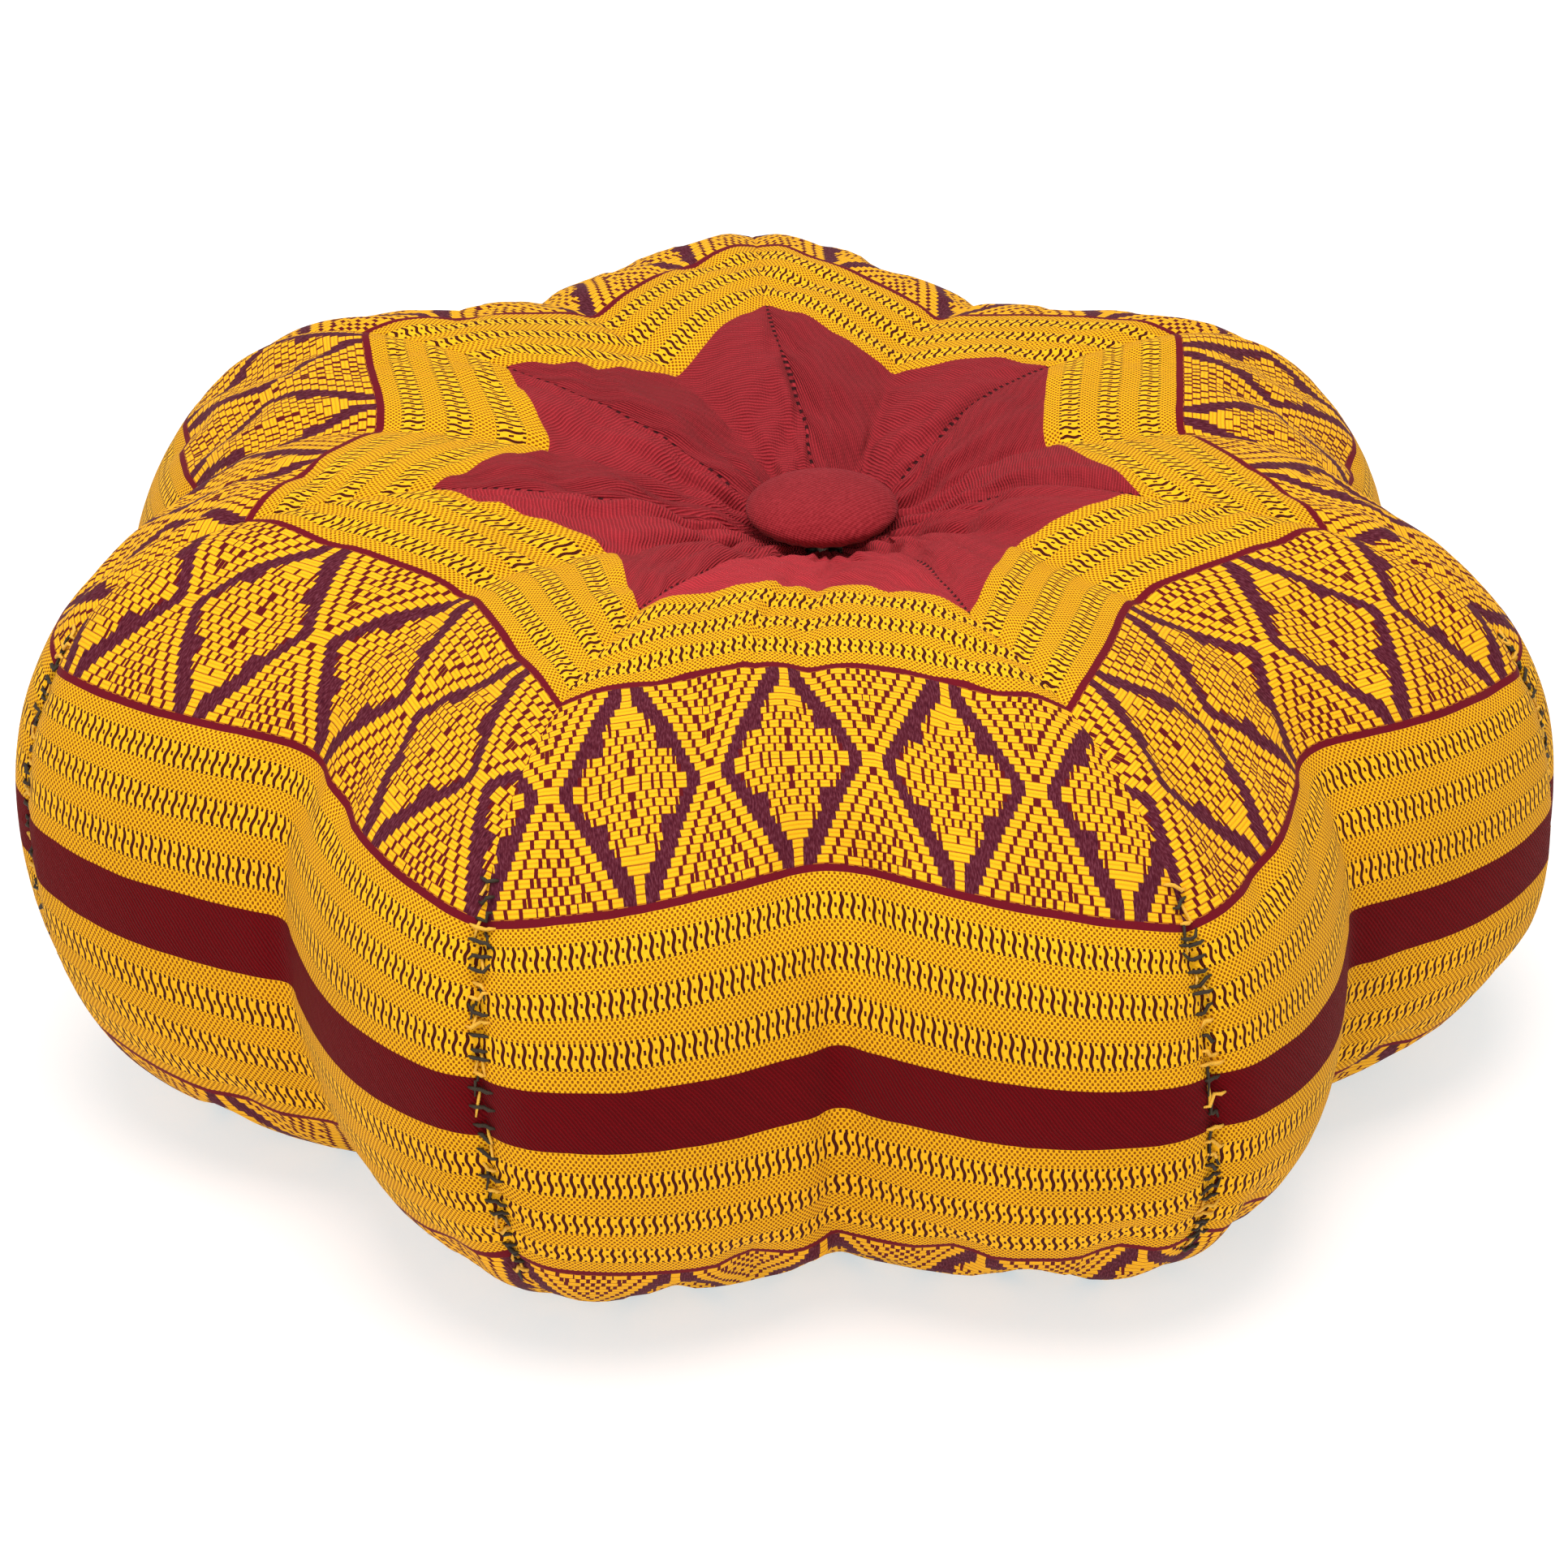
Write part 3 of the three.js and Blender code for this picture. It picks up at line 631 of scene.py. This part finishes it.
def woven_material():
    """The patterned cloth. Its cloth map holds millimetres across and along the strip."""
    material, tree, shader = new_material("woven_cotton")
    cloth = tree.nodes.new("ShaderNodeUVMap")
    cloth.uv_map = "cloth"
    parts = tree.nodes.new("ShaderNodeSeparateXYZ")
    tree.links.new(cloth.outputs[0], parts.inputs[0])
    u = Signal(tree, parts.outputs[0]) * (1 / MM)
    v = Signal(tree, parts.outputs[1]) * (1 / MM)
    wander = tree.nodes.new("ShaderNodeVectorMath")
    wander.operation = "SCALE"
    wander.inputs["Scale"].default_value = 1 / MM
    tree.links.new(cloth.outputs[0], wander.inputs[0])
    cloth_mm = wander.outputs[0]
    u = u + noise(tree, cloth_mm, 0.08) * 0.9
    v = v + noise(tree, cloth_mm, 0.06) * 0.9
    from_girth = abs(v - STRIP_MIDDLE_MM)

    top_stripes = from_girth > TOP_STRIPES_START_MM
    side_stripes = from_girth < LINE_START_MM
    star = from_girth > STAR_START_MM
    side_band = from_girth < SIDE_BAND_MM
    diamonds = (from_girth > DIAMONDS_START_MM) * (from_girth < DIAMONDS_END_MM)
    inward = (from_girth - TOP_STRIPES_START_MM) * top_stripes
    inward = inward + (from_girth - STRIPES_START_MM) * side_stripes
    dots, marks, in_row = stripes_pattern(u, v, inward)
    from_diamonds = from_girth - (DIAMONDS_START_MM + DIAMONDS_MM / 2)
    bricks, thread, between_rows, figure = diamond_pattern(u, from_diamonds)

    twill = ((u + v) * (2 * math.pi / TWILL_MM)).sin()
    streaks = tree.nodes.new("ShaderNodeMapping")
    streaks.inputs["Scale"].default_value = (2.4, 0.55, 1.0)
    streaks.inputs["Rotation"].default_value = (0.0, 0.0, 0.12)
    tree.links.new(cloth_mm, streaks.inputs["Vector"])
    streak = noise(tree, streaks.outputs[0], 1.0, 2.0)
    ground = mix_colours(tree, GROUND, GROUND_LIGHT, (streak * 3.2 + 0.1).most(0.0).least(1.0))
    ground = mix_colours(tree, ground, GROUND_DARK, (streak * -4.0 - 0.2).most(0.0).least(1.0))
    # Painted shade: the floats darken where each thread curves down beside its neighbour.
    floats = mix_colours(tree, YELLOW_LONG, YELLOW_PAINTED_SHADE, thread.flip() * 0.55)
    # Between the rows of floats a thin line is darker: the ground showing through, and painted shadow.
    floats = mix_colours(tree, floats, FLOAT_GAP_AND_SHADOW, between_rows * 0.75)
    ground = mix_colours(tree, ground, FLOAT_MAROON, figure)
    band = mix_colours(tree, ground, floats, bricks)
    stripes = mix_colours(tree, YELLOW, YELLOW_LONG, in_row)
    stripes = mix_colours(tree, stripes, BROWN_DOT, dots)
    stripes = mix_colours(tree, stripes, STROKE, marks)
    in_stripes = top_stripes.either(side_stripes)
    colour = mix_colours(tree, LINE_MAROON, band, diamonds)
    colour = mix_colours(tree, colour, stripes, in_stripes)
    colour = mix_colours(tree, colour, SIDE_MAROON, side_band)
    # The star's colour holds its lighter weave and painted sheen.
    colour = mix_colours(tree, colour, STAR_MAROON_AND_SHEEN, star)

    seam = tree.nodes.new("ShaderNodeAttribute")
    seam.attribute_name = "seam_mm"
    seam_mm = Signal(tree, seam.outputs["Fac"])
    dash = (abs(v.within(2.4)) < 0.55) * (seam_mm < 0.55) * star
    colour = mix_colours(tree, colour, SEAM_DASH, dash)

    patchy = noise(tree, cloth_mm, 0.03, 3.0) * 0.22
    threads = noise(tree, cloth_mm, 2.2, 2.0) * 0.30
    plain = star.either(side_band)
    rib = twill * plain * 0.24
    # Painted light: each strip's twill in the star is made lighter or darker, as the light falls on it.
    painted_light = tree.nodes.new("ShaderNodeAttribute")
    painted_light.attribute_name = "painted_light"
    painted_twill_light = (Signal(tree, painted_light.outputs["Fac"]) - 1.0) * star
    shade = patchy + threads + rib + painted_twill_light + 1.0
    colour = shade_colour(tree, colour, shade)
    tree.links.new(colour, shader.inputs["Base Color"])

    fine = fine_checker(u, v) * in_stripes * -0.07 + twill * plain * 0.17
    height = bricks * diamonds * (thread * 0.16 + 0.26) + fine
    height = height - marks * in_stripes * 0.22 + noise(tree, cloth_mm, 1.4, 3.0) * 0.06
    add_bump(tree, shader, height)
    shader.inputs["Roughness"].default_value = 0.82
    shader.inputs["Specular IOR Level"].default_value = 0.06
    shader.inputs["Sheen Weight"].default_value = 0.03
    shader.inputs["Sheen Roughness"].default_value = 0.45
    shader.inputs["Sheen Tint"].default_value = (1.0, 0.80, 0.70, 1.0)
    return material


def plain_cloth_material(name, base, light, pitch_mm, bump_mm):
    """A plain twill of one colour, in object space."""
    material, tree, shader = new_material(name)
    place = tree.nodes.new("ShaderNodeTexCoord").outputs["Object"]
    parts = tree.nodes.new("ShaderNodeSeparateXYZ")
    tree.links.new(place, parts.inputs[0])
    x = Signal(tree, parts.outputs[0]) * (1 / MM)
    y = Signal(tree, parts.outputs[1]) * (1 / MM)
    z = Signal(tree, parts.outputs[2]) * (1 / MM)
    turn = 2 * math.pi / pitch_mm
    weave = ((x + z) * turn).sin() * ((y + z) * turn).sin()
    fuzz = noise(tree, place, 900.0, 3.0)
    patchy = noise(tree, place, 40.0, 3.0)
    mask = (weave * 0.35 + fuzz * 1.2 + patchy * 0.5 + 0.35).most(0.0).least(1.0)
    colour = mix_colours(tree, base, light, mask)
    tree.links.new(colour, shader.inputs["Base Color"])
    add_bump(tree, shader, weave * bump_mm + fuzz * bump_mm)
    shader.inputs["Roughness"].default_value = 0.85
    shader.inputs["Specular IOR Level"].default_value = 0.12
    shader.inputs["Sheen Weight"].default_value = 0.04
    shader.inputs["Sheen Roughness"].default_value = 0.45
    return material


def thread_material(name, dark, light):
    """Twisted sewing thread."""
    material, tree, shader = new_material(name)
    place = tree.nodes.new("ShaderNodeTexCoord").outputs["Object"]
    twist = noise(tree, place, 1500.0, 2.0, 1.5)
    colour = mix_colours(tree, dark, light, (twist + 0.5).most(0.0).least(1.0))
    tree.links.new(colour, shader.inputs["Base Color"])
    add_bump(tree, shader, twist * 0.2)
    shader.inputs["Roughness"].default_value = 0.7
    shader.inputs["Specular IOR Level"].default_value = 0.3
    return material


def wood_material():
    """Pale turned wood with fine rings."""
    material, tree, shader = new_material("beech")
    place = tree.nodes.new("ShaderNodeTexCoord").outputs["Object"]
    rings = tree.nodes.new("ShaderNodeTexWave")
    rings.inputs["Scale"].default_value = 160.0
    rings.inputs["Distortion"].default_value = 5.0
    rings.inputs["Detail"].default_value = 3.0
    tree.links.new(place, rings.inputs["Vector"])
    mask = Signal(tree, rings.outputs["Fac"])
    colour = mix_colours(tree, (0.42, 0.25, 0.11), (0.62, 0.42, 0.22), mask)
    tree.links.new(colour, shader.inputs["Base Color"])
    add_bump(tree, shader, mask * 0.08)
    shader.inputs["Roughness"].default_value = 0.55
    return material


def steel_material():
    """Drawn steel wire."""
    material, tree, shader = new_material("steel_wire")
    place = tree.nodes.new("ShaderNodeTexCoord").outputs["Object"]
    marks = noise(tree, place, 2500.0, 2.0)
    colour = mix_colours(tree, (0.36, 0.36, 0.35), (0.62, 0.62, 0.60), marks + 0.5)
    tree.links.new(colour, shader.inputs["Base Color"])
    add_bump(tree, shader, marks * 0.03)
    shader.inputs["Metallic"].default_value = 1.0
    shader.inputs["Roughness"].default_value = 0.38
    return material


def finish_inner_nodes():
    """Materials of the CAD nodes that show as they are: the cord, the cores and the loops."""
    finishes = {"tie_cord": plain_cloth_material("cotton_cord", *CORD_COLOURS, 1.1, 0.12)}
    wood = wood_material()
    steel = steel_material()
    for side in ("top", "bottom"):
        finishes[f"{side}_button_core"] = wood
        finishes[f"{side}_button_loop"] = steel
    for node, material in finishes.items():
        for slot in frame["nodes"][node].material_slots:
            slot.material = material


# ---------------------------------------------------------------- pieces

def mesh_from_grid(name, points):
    """A mesh of quads from a grid of points, rows by columns, facing outwards."""
    rows, columns = points.shape[:2]
    index = np.arange(rows * columns).reshape(rows, columns)
    corners = [index[:-1, :-1], index[:-1, 1:], index[1:, 1:], index[1:, :-1]]
    faces = np.stack(corners, axis=-1).reshape(-1, 4)
    mesh = bpy.data.meshes.new(name)
    mesh.from_pydata(points.reshape(-1, 3).tolist(), [], faces.tolist())
    mesh.shade_smooth()
    return mesh


def add_uv_map(mesh, name, coordinates):
    """A UV map from one pair of numbers for each vertex."""
    layer = mesh.uv_layers.new(name=name)
    corner_vertices = np.zeros(len(mesh.loops), dtype=np.int32)
    mesh.loops.foreach_get("vertex_index", corner_vertices)
    layer.data.foreach_set("uv", coordinates.reshape(-1, 2)[corner_vertices].ravel())


def add_object(name, data):
    piece = bpy.data.objects.new(name, data)
    bpy.context.scene.collection.objects.link(piece)
    return piece


def make_cover_panels(strips, material):
    for index, strip in enumerate(strips):
        name = f"cover_strip_{index + 1}"
        mesh = mesh_from_grid(name, strip["points"])
        shifted = strip["sideways"] - STRIP_SHIFTS_MM[index]
        add_uv_map(mesh, "cloth", np.stack([shifted * MM, strip["cloth"] * MM], axis=-1))
        span = np.abs(strip["sideways"]).max() * 2.04
        across = 0.5 + strip["sideways"] / span
        along = strip["cloth"] / (2 * STRIP_MIDDLE_MM)
        add_uv_map(mesh, "OFBake", np.stack([across, along], axis=-1))
        seam = mesh.attributes.new("seam_mm", "FLOAT", "POINT")
        seam.data.foreach_set("value", strip["seam"].ravel())
        # The strip's painted sheen or shade, for its star.
        painted_light = mesh.attributes.new("painted_light", "FLOAT", "POINT")
        painted_light.data.foreach_set("value", np.full(strip["seam"].size, STRIP_PAINTED_LIGHT[index]))
        mesh.materials.append(material)
        panel = add_object(name, mesh)
        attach(panel, "cushion")
        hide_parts(f"cover_panel_{index + 1}")


# ---------------------------------------------------------------- hand stitches

STITCH_PITCH_MM = 3.8
STITCH_REACH_MM = 3.0
THREAD_RADIUS = 0.56 * MM
YELLOW_THREADS = 0.28  # share of the stitches sewn in yellow
STITCH_LIFTS = (0.0, 0.9 * MM, 1.2 * MM, 0.9 * MM, 0.0)  # of a stitch's points off the cloth
LOOSE_THREADS = 0.45  # share of the stitches with a thread running along the seam
LOOSE_THREAD_LIFT = 0.6 * MM


def point_on(strip, row, column_side, seam_mm, lift):
    """A point on a strip, seam_mm from the seam on its first (0) or last (-1) column."""
    half = slice(0, HALF_COLUMNS) if column_side == 0 else slice(-1, HALF_COLUMNS, -1)
    row = int(np.clip(row, 0, ROWS))
    seam = strip["seam"][row, half]
    points = strip["points"][row, half]
    outward = normals_of(strip["points"][max(row - 1, 0):row + 2])[1, half]
    place = [np.interp(seam_mm, seam, points[:, axis]) for axis in range(3)]
    push = [np.interp(seam_mm, seam, outward[:, axis]) for axis in range(3)]
    return Vector(place) + Vector(push) * lift


def tube(bm, points, radius, material_index, sides=6):
    """A closed round thread along a few points, added to bm."""
    rings = []
    for i, point in enumerate(points):
        ahead = points[min(i + 1, len(points) - 1)] - points[max(i - 1, 0)]
        turn = ahead.to_track_quat("Z", "Y")
        thick = radius * (0.55 if i in (0, len(points) - 1) else 1.0)
        spokes = [2 * math.pi * side / sides for side in range(sides)]
        ring = [turn @ Vector((math.cos(a), math.sin(a), 0)) * thick + point for a in spokes]
        rings.append([bm.verts.new(corner) for corner in ring])
    faces = [bm.faces.new(rings[0][::-1]), bm.faces.new(rings[-1])]
    for low, high in zip(rings, rings[1:]):
        for side in range(sides):
            after = (side + 1) % sides
            faces.append(bm.faces.new((low[side], low[after], high[after], high[side])))
    for face in faces:
        face.smooth = True
        face.material_index = material_index


def make_hand_stitches(strips, brown, yellow):
    """Short crossing stitches that close each chamber along its crown seam."""
    row_mm = (2 * STRIP_MIDDLE_MM - 2 * STRIP_END_MM) / ROWS
    for index in range(LOBES):
        chance = random.Random(40 + index)
        before = strips[index - 1]
        after = strips[index]
        bm = bmesh.new()
        place = STRIP_MIDDLE_MM - HAND_SEAM_MM
        while place < STRIP_MIDDLE_MM + HAND_SEAM_MM:
            row = (place - STRIP_END_MM) / row_mm
            slant = chance.uniform(-1.2, 1.6)
            reach = STITCH_REACH_MM * chance.uniform(0.55, 1.25)
            crossing = [(before, -1, -1.0), (before, -1, -0.6), (after, 0, 0.0)]
            crossing += [(after, 0, 0.6), (after, 0, 1.0)]
            points = []
            for (strip, side, part), lift in zip(crossing, STITCH_LIFTS):
                aside = max(reach * abs(part), 0.1)
                points.append(point_on(strip, row + part * slant / row_mm, side, aside, lift))
            colour = 1 if chance.random() < YELLOW_THREADS else 0
            tube(bm, points, THREAD_RADIUS, colour)
            if chance.random() < LOOSE_THREADS:
                side, strip = chance.choice(((0, after), (-1, before)))
                run = [point_on(strip, row + k * chance.uniform(0.5, 1.1), side,
                                0.6 + 0.5 * k, LOOSE_THREAD_LIFT) for k in range(4)]
                tube(bm, run, THREAD_RADIUS * 0.8, 1 - colour)
            place += STITCH_PITCH_MM * chance.uniform(0.75, 1.3)
        mesh = bpy.data.meshes.new(f"hand_stitches_{index + 1}")
        bm.to_mesh(mesh)
        bm.free()
        mesh.materials.append(brown)
        mesh.materials.append(yellow)
        stitches = add_object(mesh.name, mesh)
        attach(stitches, "cushion")
        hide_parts(f"closing_stitches_{index + 1}")


# ---------------------------------------------------------------- inside

KAPOK_INSET = 9 * MM
KAPOK_CORE = 17 * MM  # kapok stays this far from the tie cord
PARTITION_INSET = 6 * MM
PARTITION_HALF = 0.5 * MM  # half the thickness of a partition
PARTITION_SWAY = 0.6 * MM
PARTITION_COLUMNS = 12
LUMP_HEIGHT = 1.5 * MM  # lumps of the kapok


def closed_grid(name, outer, inner):
    """A closed mesh between two grids of points with the same rows and columns."""
    rows, columns = outer.shape[:2]
    index = np.arange(rows * columns).reshape(rows, columns)
    back = index + rows * columns
    faces = []
    for row in range(rows - 1):
        for column in range(columns - 1):
            quad = [(row, column), (row, column + 1), (row + 1, column + 1), (row + 1, column)]
            faces.append([index[corner] for corner in quad])
            faces.append([back[corner] for corner in quad[::-1]])
    rim = [(0, c) for c in range(columns)] + [(r, columns - 1) for r in range(1, rows)]
    rim += [(rows - 1, c) for c in range(columns - 2, -1, -1)]
    rim += [(r, 0) for r in range(rows - 2, 0, -1)]
    for here, there in zip(rim, rim[1:] + rim[:1]):
        faces.append([index[here], back[here], back[there], index[there]])
    mesh = bpy.data.meshes.new(name)
    points = np.concatenate([outer.reshape(-1, 3), inner.reshape(-1, 3)])
    mesh.from_pydata(points.tolist(), [], [[int(corner) for corner in face] for face in faces])
    mesh.shade_smooth()
    return mesh


def beside_cord(outer, radius):
    """Points at that radius from the axis, each at the height and angle of an outer point."""
    flat = outer[..., :2] - np.array([AXIS.x, AXIS.y])
    away = flat / np.maximum(np.linalg.norm(flat, axis=-1, keepdims=True), 1e-9)
    inner = outer.copy()
    inner[..., :2] = np.array([AXIS.x, AXIS.y]) + away * radius
    inner[..., 2] = np.clip(inner[..., 2], outer[-1:, :, 2], outer[:1, :, 2])
    return inner


def make_kapok(material):
    """The lumpy fibre filling of each chamber."""
    first = math.asin(KAPOK_CORE * 1.25 / NOTCH_RADIUS) * 2 / math.pi
    across, turn = np.meshgrid(np.linspace(-0.93, 0.93, 21), np.linspace(first, 2 - first, 50))
    for index in range(LOBES):
        outer = surface(index, across, turn, KAPOK_INSET)
        lumps = np.sin(across * 9 + index) * np.sin(turn * 13 + index * 2)
        lumps = lumps + 0.7 * np.sin(across * 17 - turn * 5) * np.sin(turn * 23 + index)
        outer = outer + normals_of(outer) * (lumps * LUMP_HEIGHT)[..., None]
        outer[..., 2] = np.maximum(outer[..., 2], KAPOK_INSET / 3)
        inner = beside_cord(outer, KAPOK_CORE)
        name = f"kapok_{index + 1}"
        mesh = closed_grid(name, outer, inner)
        mesh.materials.append(material)
        kapok = add_object(name, mesh)
        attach(kapok, "cushion")
        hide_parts(f"kapok_filling_{index + 1}")


def make_partitions(material):
    """The cotton walls between the chambers, sewn to the middles of the strips."""
    first = math.asin(KAPOK_CORE / NOTCH_RADIUS) * 2 / math.pi
    turn = np.linspace(first, 2 - first, 60)[:, None]
    for index in range(LOBES):
        outer = surface(index, np.full((1, 1), -1.0), turn, PARTITION_INSET)
        inner = beside_cord(outer, KAPOK_CORE)
        inwards = np.linspace(0, 1, PARTITION_COLUMNS)
        rows = np.concatenate([outer + (inner - outer) * step for step in inwards], axis=1)
        sway = PARTITION_SWAY * np.sin(inwards * 9)[None, :] * np.sin(turn * 9 + index)
        angle = math.pi / 2 - (index - 0.5) * LOBE_ANGLE
        side = np.array([-math.sin(angle), math.cos(angle), 0])
        front = rows + side * (sway + PARTITION_HALF)[..., None]
        back = rows + side * (sway - PARTITION_HALF)[..., None]
        name = f"partition_wall_{index + 1}"
        mesh = closed_grid(name, back, front)
        mesh.materials.append(material)
        wall = add_object(name, mesh)
        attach(wall, "cushion")
        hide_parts(f"partition_{index + 1}")


BUTTON_RADIUS = (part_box("top_button_cloth")[1].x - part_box("top_button_cloth")[0].x) / 2
BUTTON_RIM = 5 * MM
BUTTON_HEM = 9 * MM  # the cloth is drawn in this far under the button
BUTTON_GATHER = 0.35 * MM
BUTTON_GATHERS = 23
BUTTON_UNEVENNESS = 0.25 * MM


def make_button(side, material):
    """A cloth-covered button: a soft dome, a rolled rim and gathers under it."""
    low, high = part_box(f"{side}_button_cloth")
    seat, face = (low.z, high.z) if side == "top" else (high.z, low.z)
    out = 1 if side == "top" else -1
    height = abs(face - seat)
    rings, spokes = 40, 96
    part = np.linspace(0, 1, rings + 1)[:, None]
    angle = -np.linspace(0, 2 * math.pi, spokes, endpoint=False)[None, :]
    bend = part * math.pi * 0.98
    r = BUTTON_RADIUS * np.sin(np.minimum(bend, math.pi / 2)) ** 0.9
    under = np.clip((bend - math.pi / 2) / (math.pi / 2), 0, 1)
    r = r - under ** 1.6 * BUTTON_HEM
    dome = (height - BUTTON_RIM) * np.cos(np.minimum(bend, math.pi / 2)) ** 1.1
    z = BUTTON_RIM + dome - BUTTON_RIM * np.sin(under * math.pi / 2)
    waves = np.sin(BUTTON_GATHERS * angle + 2 * np.sin(3 * angle))
    gathers = BUTTON_GATHER * waves * np.sin(under * math.pi) ** 2
    wobble = BUTTON_UNEVENNESS * np.sin(2 * angle + 0.6) * np.sin(np.minimum(bend, math.pi / 2))
    r = r + gathers + wobble
    x = AXIS.x + r * np.cos(angle)
    y = AXIS.y + r * np.sin(angle) * out
    points = np.stack([x, y, seat + out * (z + 0 * angle)], axis=-1)
    points = np.concatenate([points, points[:, :1]], axis=1)
    mesh = mesh_from_grid(f"{side}_button_cover", points)
    mesh.materials.append(material)
    piece = add_object(f"{side}_button_cover", mesh)
    weld = piece.modifiers.new("weld", "WELD")
    weld.merge_threshold = 0.01 * MM
    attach(piece, f"{side}_button")
    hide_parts(f"{side}_button_cloth")


# ---------------------------------------------------------------- stage, light, camera

SKY_STRENGTH = 0.62
OVERHEAD_PLACE = Vector((-0.1, -0.4, 2.2))  # from the middle of the cushion
OVERHEAD_SIZE = 1.7
OVERHEAD_POWER = 45
FRONT_PLACE = Vector((-0.8, -2.2, 1.3))
FRONT_SIZE = 1.2
FRONT_POWER = 13
FLOOR_SIZE = 12.0
FLOOR_COLOUR = (0.62, 0.49, 0.44, 1)
FLOOR_GLOW = (0.73, 0.93, 1, 1)
FLOOR_GLOW_STRENGTH = 0.63
CAMERA_LENS = 140.5
CAMERA_DISTANCE = 8.07 * CROWN_RADIUS
CAMERA_ELEVATION = math.radians(29.2)
CAMERA_TURN = math.radians(-4.7)  # the cushion stands turned a little to the camera
CAMERA_AIM = Vector((AXIS.x - TUFT_ASIDE, AXIS.y, GIRTH_HEIGHT - 15 * MM))


def add_area_light(name, place, aim, size, power):
    light = bpy.data.lights.new(name, "AREA")
    light.shape = "DISK"
    light.size = size
    light.energy = power
    lamp = add_object(name, light)
    lamp.location = place
    lamp.rotation_euler = (aim - place).to_track_quat("-Z", "Y").to_euler()


def make_stage():
    scene = bpy.context.scene
    scene.view_settings.view_transform = "Standard"
    world = bpy.data.worlds.new("studio")
    scene.world = world
    world.use_nodes = True
    world.node_tree.nodes["Background"].inputs["Color"].default_value = (1, 1, 1, 1)
    world.node_tree.nodes["Background"].inputs["Strength"].default_value = SKY_STRENGTH
    middle = Vector((AXIS.x, AXIS.y, GIRTH_HEIGHT))
    add_area_light("overhead", middle + OVERHEAD_PLACE, middle, OVERHEAD_SIZE, OVERHEAD_POWER)
    add_area_light("front", middle + FRONT_PLACE, middle, FRONT_SIZE, FRONT_POWER)

    size = FLOOR_SIZE
    material, tree, shader = new_material("paper_floor")
    shader.inputs["Base Color"].default_value = FLOOR_COLOUR
    shader.inputs["Roughness"].default_value = 0.95
    shader.inputs["Specular IOR Level"].default_value = 0.0
    shader.inputs["Emission Color"].default_value = FLOOR_GLOW
    shader.inputs["Emission Strength"].default_value = FLOOR_GLOW_STRENGTH
    corners = [(-size, -size, 0), (size, -size, 0), (size, size, 0), (-size, size, 0)]
    mesh = bpy.data.meshes.new("floor")
    mesh.from_pydata(corners, [], [(0, 1, 2, 3)])
    mesh.materials.append(material)
    floor = add_object("floor", mesh)
    floor.location.z = -0.2 * MM

    lens = bpy.data.cameras.new("camera")
    lens.lens = CAMERA_LENS
    camera = add_object("camera", lens)
    direction = Vector((math.sin(CAMERA_TURN) * math.cos(CAMERA_ELEVATION),
                        -math.cos(CAMERA_TURN) * math.cos(CAMERA_ELEVATION),
                        math.sin(CAMERA_ELEVATION)))
    camera.location = CAMERA_AIM + direction * CAMERA_DISTANCE
    camera.rotation_euler = direction.to_track_quat("Z", "Y").to_euler()
    scene.camera = camera


# ---------------------------------------------------------------- the scene

make_stage()
strips = [cover_strip(index, puff) for index, puff in enumerate(puffed_strips())]
join_seams(strips)
make_cover_panels(strips, woven_material())
brown_thread = thread_material("brown_thread", *BROWN_THREAD_COLOURS)
yellow_thread = thread_material("yellow_thread", *YELLOW_THREAD_COLOURS)
make_hand_stitches(strips, brown_thread, yellow_thread)
button_cloth = plain_cloth_material("maroon_cotton", *BUTTON_COLOURS, 1.5, 0.11)
make_button("top", button_cloth)
make_button("bottom", button_cloth)
make_kapok(plain_cloth_material("kapok_fibre", *KAPOK_COLOURS, 3.1, 0.25))
make_partitions(plain_cloth_material("plain_cotton", *PARTITION_COLOURS, 0.8, 0.06))
finish_inner_nodes()
